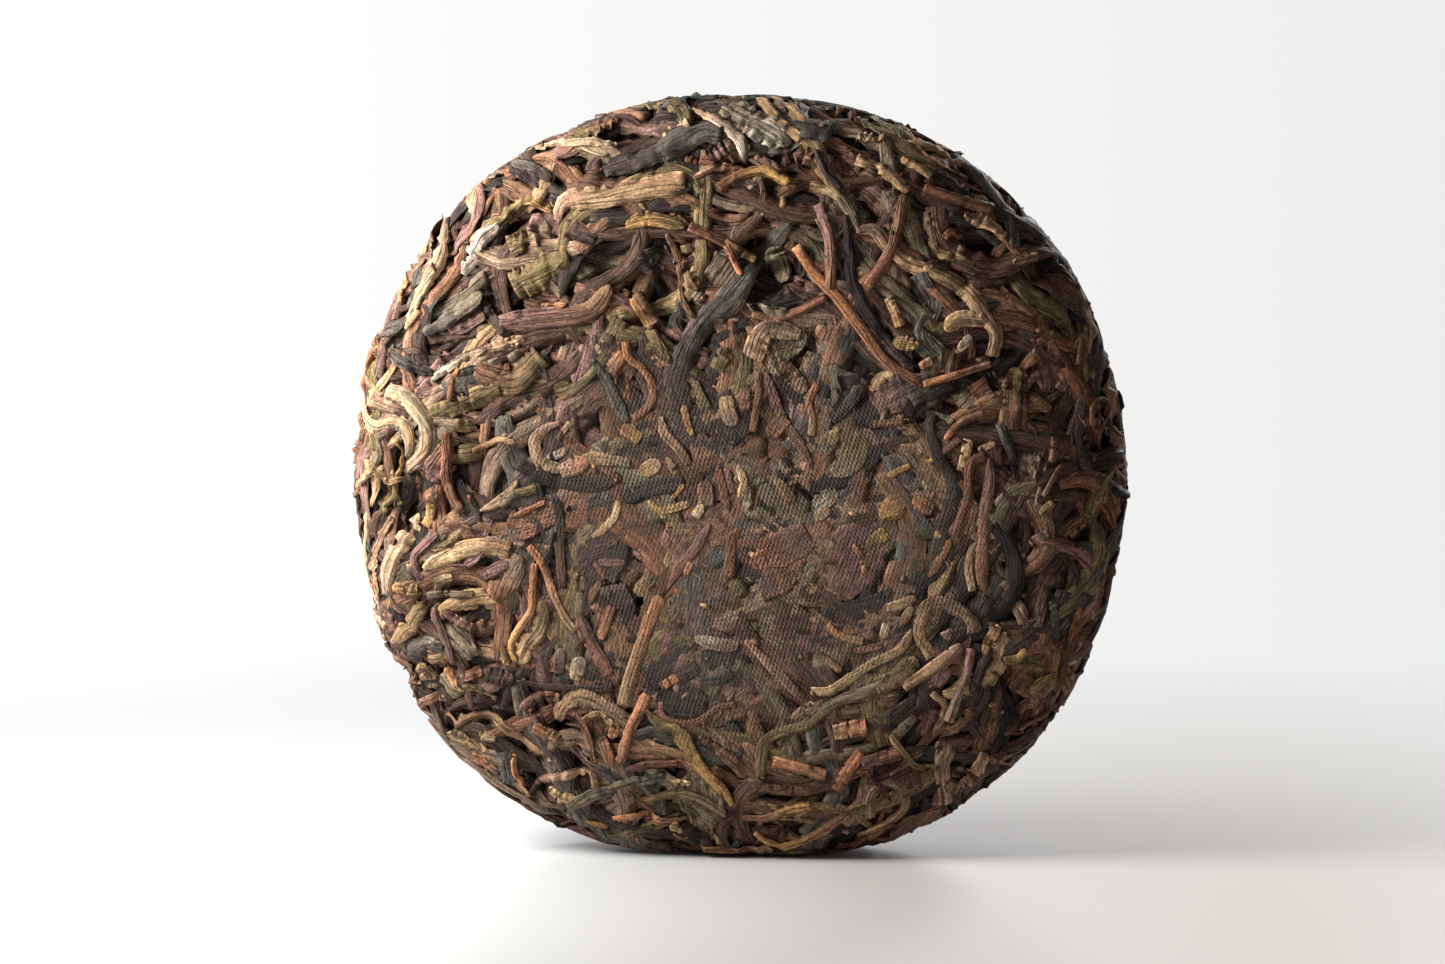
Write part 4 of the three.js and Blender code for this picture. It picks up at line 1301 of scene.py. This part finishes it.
def core_piece(material, rings=80, sides=200):
    """The mass under the leaves, with lumps of its own, darkened as painted shade for the deep gaps where
    it shows.
    """
    arcs = np.linspace(CORE_OPENING, 2 * HALF_ARC - CORE_OPENING, rings)
    turns = np.linspace(0, FULL_TURN, sides, endpoint=False)
    points, outward = settle(point_at(*np.meshgrid(arcs, turns, indexing="ij")))
    lumps = 0
    for _ in range(LUMPS):
        way = unit(rng.normal(0, 1, 3)) * FULL_TURN / between(LUMP_LENGTH)
        lumps = lumps + np.sin(points @ way + between(ANY_ANGLE))
    height = lumps * LUMP_HEIGHT - BED_DEPTH + CORE_RISE
    vertices = (points + outward * height[..., None])[None]
    tint = 0 * vertices + linear("dark-brown") * CORE_PAINTED_SHADE
    carried = {"vertices": vertices, "tint": tint, "marks": 0 * vertices, "grain": vertices}
    arrays = tube_arrays(carried, np.array([2 * HALF_ARC]), np.array([FULL_TURN * CAKE_RADIUS]))
    return new_piece("tea_core", arrays, material)


# Materials.

# Patterns in the tea: waves a millimetre along a strip, across it and through it, then how
# many finer layers each pattern has and how strong they are.
PATTERNS = {
    "streak": ((0.2, 2.0, 2.0), 3.0, 0.6),
    "fold": ((0.07, 0.75, 0.75), 2.0, 0.5),
    "mottle": ((0.8, 0.9, 0.9), 3.0, 0.6),
    "fleck": ((0.9, 7.0, 7.0), 2.0, 0.6),
    "fuzz": ((2.2, 3.6, 3.6), 2.0, 0.8),
    "drift": ((0.1, 0.35, 0.35), 3.0, 0.6),
    "wrinkle": ((0.3, 3.4, 3.4), 4.0, 0.7),
}

# The middle of a pattern's values, and spans over which what it drives goes from its least
# to its most.
NOISE_MIDDLE = 0.5
WIDE_SPAN = (0.3, 0.7)
NARROW_SPAN = (0.35, 0.65)
FLECK_SPAN = (0.6, 0.78)
RIDGE_SPAN = (-1.0, 0.6)

# Painted shade in the creases and painted light on the ridges, painted shade in the fold lines, and painted
# shade and light that follow the dents and rises of the print.
RIDGE_PAINTED_SHADE_AND_LIGHT = (0.68, 1.18)
FOLD_PAINTED_SHADE = (0.45, 1.0)
THREAD_PAINTED_SHADE = 0.22

# Folds, and the painted shade in them, fill up where the cloth pressed. The hue drifts between two factors
# of red, green and blue, dust lies in flecks, and pressed leaves are duller.
PRESSED_FOLD = 0.65
HUE_DRIFT = ((1.06, 0.95, 0.97, 1), (0.98, 1.03, 0.91, 1))
DUST = (0.42, 0.34, 0.25, 1)
PRESSED_COLOUR = (0.066, 0.053, 0.044, 1)
PRESSED_DULLING = 0.3
ROUGHNESS_CHANGES = (0.12, -0.08)
SHEEN_ROUGHNESS = 0.5

# Bumps: their strength, which differs for wrinkles, and their height in metres.
FOLD_BUMP = (0.8, 0.00028)
WRINKLE_HEIGHT = 0.0008
THREAD_BUMP = (0.8, 0.00012)

# Prints of the two sets of threads: their spacing and the way across them in degrees. They
# show in patches of a pattern that is given by waves a metre.
THREADS = ((0.43, 39.0), (0.52, -17.0))
PATCHES = ((110, 110, 110), 1.0, 0.6)
PATCH_SPAN = (0.42, 0.6)
PATCH_SHARES = (0.25, 1.0)


@dataclass
class Look:
    """How strong each pattern is in one material, and how its surface shines."""

    streak: float = 0.33
    mottle: float = 0.22
    fold: float = 0.05  # width of the fold lines, painted dark as shade
    wrinkle: float = 0.5
    roughness: float = 0.6
    gloss: float = 0.14
    fleck: float = 0.25
    fuzz: float = 0.62
    sheen: float = 0.0


LOOKS = {
    "leaf": Look(),
    "flat leaf": Look(streak=0.2, mottle=0.3, wrinkle=0.4),
    "stem": Look(streak=0.3, mottle=0.15, wrinkle=0.35, roughness=0.5),
    "bud": Look(streak=0.25, mottle=0.12, fleck=0.4, sheen=0.3),
}


def set_inputs(tree, node, inputs):
    """Links a node's inputs to sockets, and sets the others to values."""
    for word, value in inputs.items():
        if isinstance(value, bpy.types.NodeSocket):
            tree.links.new(value, node.inputs[word])
        else:
            node.inputs[word].default_value = value


def add_node(tree, kind, inputs=None, **settings):
    node = tree.nodes.new(kind)
    for word, value in settings.items():
        setattr(node, word, value)
    set_inputs(tree, node, inputs or {})
    return node


def maths(tree, operation, first, second=0.0):
    return add_node(tree, "ShaderNodeMath", {0: first, 1: second}, operation=operation).outputs[0]


def product(tree, first, *others):
    for other in others:
        first = maths(tree, "MULTIPLY", first, other)
    return first


def vectors(tree, operation, inputs, output="Vector"):
    return add_node(tree, "ShaderNodeVectorMath", inputs, operation=operation).outputs[output]


def mix(tree, share, first, second):
    """A colour between two colours."""
    sockets = {0: share, 6: first, 7: second}
    return add_node(tree, "ShaderNodeMix", sockets, data_type="RGBA").outputs[2]


def remap(tree, value, span, results=(0.0, 1.0)):
    """Goes from the first result to the second as the value goes over its span."""
    sockets = dict(enumerate((value, *span, *results)))
    return add_node(tree, "ShaderNodeMapRange", sockets).outputs[0]


def swing(tree, value, span, amount):
    return remap(tree, value, span, (1 - amount, 1 + amount))


def noise(tree, place, rates, detail, roughness):
    place = vectors(tree, "MULTIPLY", {0: place, 1: rates})
    inputs = {"Vector": place, "Scale": 1.0, "Detail": detail, "Roughness": roughness}
    return add_node(tree, "ShaderNodeTexNoise", inputs).outputs[0]


def bumps(tree, *layers):
    """Bumps one over another, each from a height, a strength and a distance in metres."""
    below = {}
    for height, strength, distance in layers:
        inputs = {"Height": height, "Strength": strength, "Distance": distance} | below
        below = {"Normal": add_node(tree, "ShaderNodeBump", inputs).outputs[0]}
    return below["Normal"]


def new_material(name):
    material = bpy.data.materials.new(name)
    material.use_nodes = True
    return material, material.node_tree, material.node_tree.nodes["Principled BSDF"]


def weave_print(tree, pressed):
    """The print of the cloth's threads, from minus one to one, in patches."""
    place = add_node(tree, "ShaderNodeTexCoord").outputs["Object"]
    patches = remap(tree, noise(tree, place, *PATCHES), PATCH_SPAN, PATCH_SHARES)
    waves = []
    for spacing, angle in THREADS:
        rate = FULL_TURN / (spacing * MM)
        way = (rate * math.cos(math.radians(angle)), 0.0, rate * math.sin(math.radians(angle)))
        waves.append(maths(tree, "SINE", vectors(tree, "DOT_PRODUCT", {0: place, 1: way}, "Value")))
    return product(tree, maths(tree, "ADD", *waves), 0.5, pressed, patches)


def tea_material(name, look):
    """The strips' own colours, broken up by patterns, with painted shade in the creases, fold lines and
    dents of the print, and painted light on the ridges and rises of the print.
    """
    material, tree, shader = new_material(name)
    tint, grain, marks = (
        add_node(tree, "ShaderNodeAttribute", attribute_name=word).outputs[output]
        for word, output in (("tint", "Color"), ("grain", "Vector"), ("marks", "Vector"))
    )
    ridge, pressed, _ = add_node(tree, "ShaderNodeSeparateXYZ", {0: marks}).outputs
    seen = {word: noise(tree, grain, *pattern) for word, pattern in PATTERNS.items()}
    lines = maths(tree, "ABSOLUTE", maths(tree, "SUBTRACT", seen["fold"], NOISE_MIDDLE))
    lines = remap(tree, lines, (0.0, look.fold))
    fold = maths(tree, "MAXIMUM", lines, product(tree, pressed, PRESSED_FOLD))
    weave = weave_print(tree, pressed)
    # The tone varies with streaks, mottle and fuzz, and takes painted shade and light from the creases,
    # ridges, folds and print.
    tone_and_painted_shade = product(
        tree,
        swing(tree, seen["streak"], WIDE_SPAN, look.streak),
        swing(tree, seen["mottle"], NARROW_SPAN, look.mottle),
        # Painted shade in the creases and painted light on the ridges.
        remap(tree, ridge, RIDGE_SPAN, RIDGE_PAINTED_SHADE_AND_LIGHT),
        swing(tree, seen["fuzz"], WIDE_SPAN, look.fuzz),
        # Painted shade in the fold lines.
        remap(tree, fold, (0.0, 1.0), FOLD_PAINTED_SHADE),
        # Painted shade and light that follow the dents and rises of the print, as its bumps do.
        swing(tree, weave, (-1.0, 1.0), THREAD_PAINTED_SHADE),
    )
    hue = mix(tree, remap(tree, seen["drift"], NARROW_SPAN), *HUE_DRIFT)
    tint = vectors(tree, "MULTIPLY", {0: tint, 1: hue})
    tint = vectors(tree, "SCALE", {0: tint, "Scale": tone_and_painted_shade})
    tint = mix(tree, remap(tree, seen["fleck"], FLECK_SPAN, (0.0, look.fleck)), tint, DUST)
    roughness = [look.roughness + change for change in ROUGHNESS_CHANGES]
    set_inputs(tree, shader, {
        "Base Color": mix(tree, product(tree, pressed, PRESSED_DULLING), tint, PRESSED_COLOUR),
        "Roughness": remap(tree, seen["streak"], WIDE_SPAN, roughness),
        "Specular IOR Level": look.gloss,
        "Sheen Weight": look.sheen,
        "Sheen Roughness": SHEEN_ROUGHNESS,
        "Normal": bumps(
            tree,
            (fold, *FOLD_BUMP),
            (seen["wrinkle"], look.wrinkle, WRINKLE_HEIGHT),
            (weave, *THREAD_BUMP),
        ),
    })
    return material


# The scene round the cake.


def add_camera():
    back = view_axes()[2]
    data = bpy.data.cameras.new("camera")
    data.lens = LENS
    data.sensor_width = SENSOR
    data.shift_x = -CAKE_PIXELS_RIGHT / FRAME_WIDTH
    data.clip_start, data.clip_end = CLIPPING
    camera = new_object("camera", data)
    camera.location = (DISC_MIDDLE + back * VIEW_DISTANCE) * MM
    camera.rotation_euler = Vector(back).to_track_quat("Z", "Y").to_euler()
    bpy.context.scene.camera = camera


def add_light(name, way, size, power, colour):
    azimuth, elevation = math.radians(way[0]), math.radians(way[1])
    level = math.cos(elevation)
    place = Vector((math.sin(azimuth) * level, -math.cos(azimuth) * level, math.sin(elevation)))
    data = bpy.data.lights.new(name, "AREA")
    data.shape = "DISK"
    data.size = size
    data.energy = power
    data.color = colour
    light = new_object(name, data)
    light.location = place * way[2]
    light.rotation_euler = (LIGHT_AIM - light.location).to_track_quat("-Z", "Y").to_euler()


def add_world():
    """White to look at, a little greyer to the right. It lights less from the front and right."""
    world = bpy.data.worlds.new("world")
    bpy.context.scene.world = world
    world.use_nodes = True
    tree = world.node_tree
    way = add_node(tree, "ShaderNodeTexCoord").outputs["Generated"]
    right, behind, _ = add_node(tree, "ShaderNodeSeparateXYZ", {0: way}).outputs
    light = product(tree, remap(tree, behind, *WORLD_DEPTH), remap(tree, right, *WORLD_SIDES))
    seen = add_node(tree, "ShaderNodeLightPath").outputs["Is Camera Ray"]
    strength = product(tree, maths(tree, "MAXIMUM", light, seen), remap(tree, right, *WORLD_ACROSS))
    set_inputs(tree, tree.nodes["Background"], {"Strength": strength, "Color": WORLD_COLOUR})


def add_floor():
    """A pale floor, bluish on the left and darker and warmer to the right as painted shade, that fades into
    the white far away.
    """
    mesh = bpy.data.meshes.new("floor")
    signs = ((-1, -1), (1, -1), (1, 1), (-1, 1))
    mesh.from_pydata([(x * FLOOR_REACH, y * FLOOR_REACH, 0) for x, y in signs], [], [(0, 1, 2, 3)])
    floor = new_object("floor", mesh)
    material, tree, shader = new_material("floor")
    place = add_node(tree, "ShaderNodeTexCoord").outputs["Object"]
    right = add_node(tree, "ShaderNodeSeparateXYZ", {0: place}).outputs[0]
    # Painted shade: the floor goes from bluish grey on the left to a darker warm grey on the right.
    tint = mix(tree, remap(tree, right, FLOOR_SPAN), *FLOOR_PAINTED_SHADE_COLOURS)
    set_inputs(tree, shader, {"Base Color": tint, "Roughness": FLOOR_ROUGHNESS})
    away = vectors(tree, "DISTANCE", {0: place, 1: FLOOR_MIDDLE}, "Value")
    clear = add_node(tree, "ShaderNodeBsdfTransparent")
    faded = {0: remap(tree, away, FLOOR_FADE), 1: shader.outputs[0], 2: clear.outputs[0]}
    faded = add_node(tree, "ShaderNodeMixShader", faded)
    set_inputs(tree, tree.nodes["Material Output"], {"Surface": faded.outputs[0]})
    mesh.materials.append(material)


def build_cake():
    """Lays all strips, then makes the core, a piece for each kind of strip, and the crumbs."""
    materials = {name: tea_material(name, look) for name, look in LOOKS.items()}
    batches = [(name, shown_strips(kind)) for name, kind in SHOWN_KINDS.items()]
    flow = flow_of([strips for _, strips in batches])
    batches += [(name, spread_strips(kind, flow)) for name, kind in KINDS.items()]
    surface = lay_all([strips for _, strips in batches])
    core = core_piece(materials["leaf"])
    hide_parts("tea_cake")
    looks = {"flat": "flat leaf", "stem": "stem", "bud": "bud"}
    for name, strips in batches:
        strips_piece(strips, materials[looks.get(name, "leaf")])
    crumbs_piece(surface, materials["leaf"])


add_camera()
add_world()
add_floor()
for light in LIGHTS:
    add_light(*light)
bpy.context.scene.view_settings.view_transform = "Standard"
build_cake()
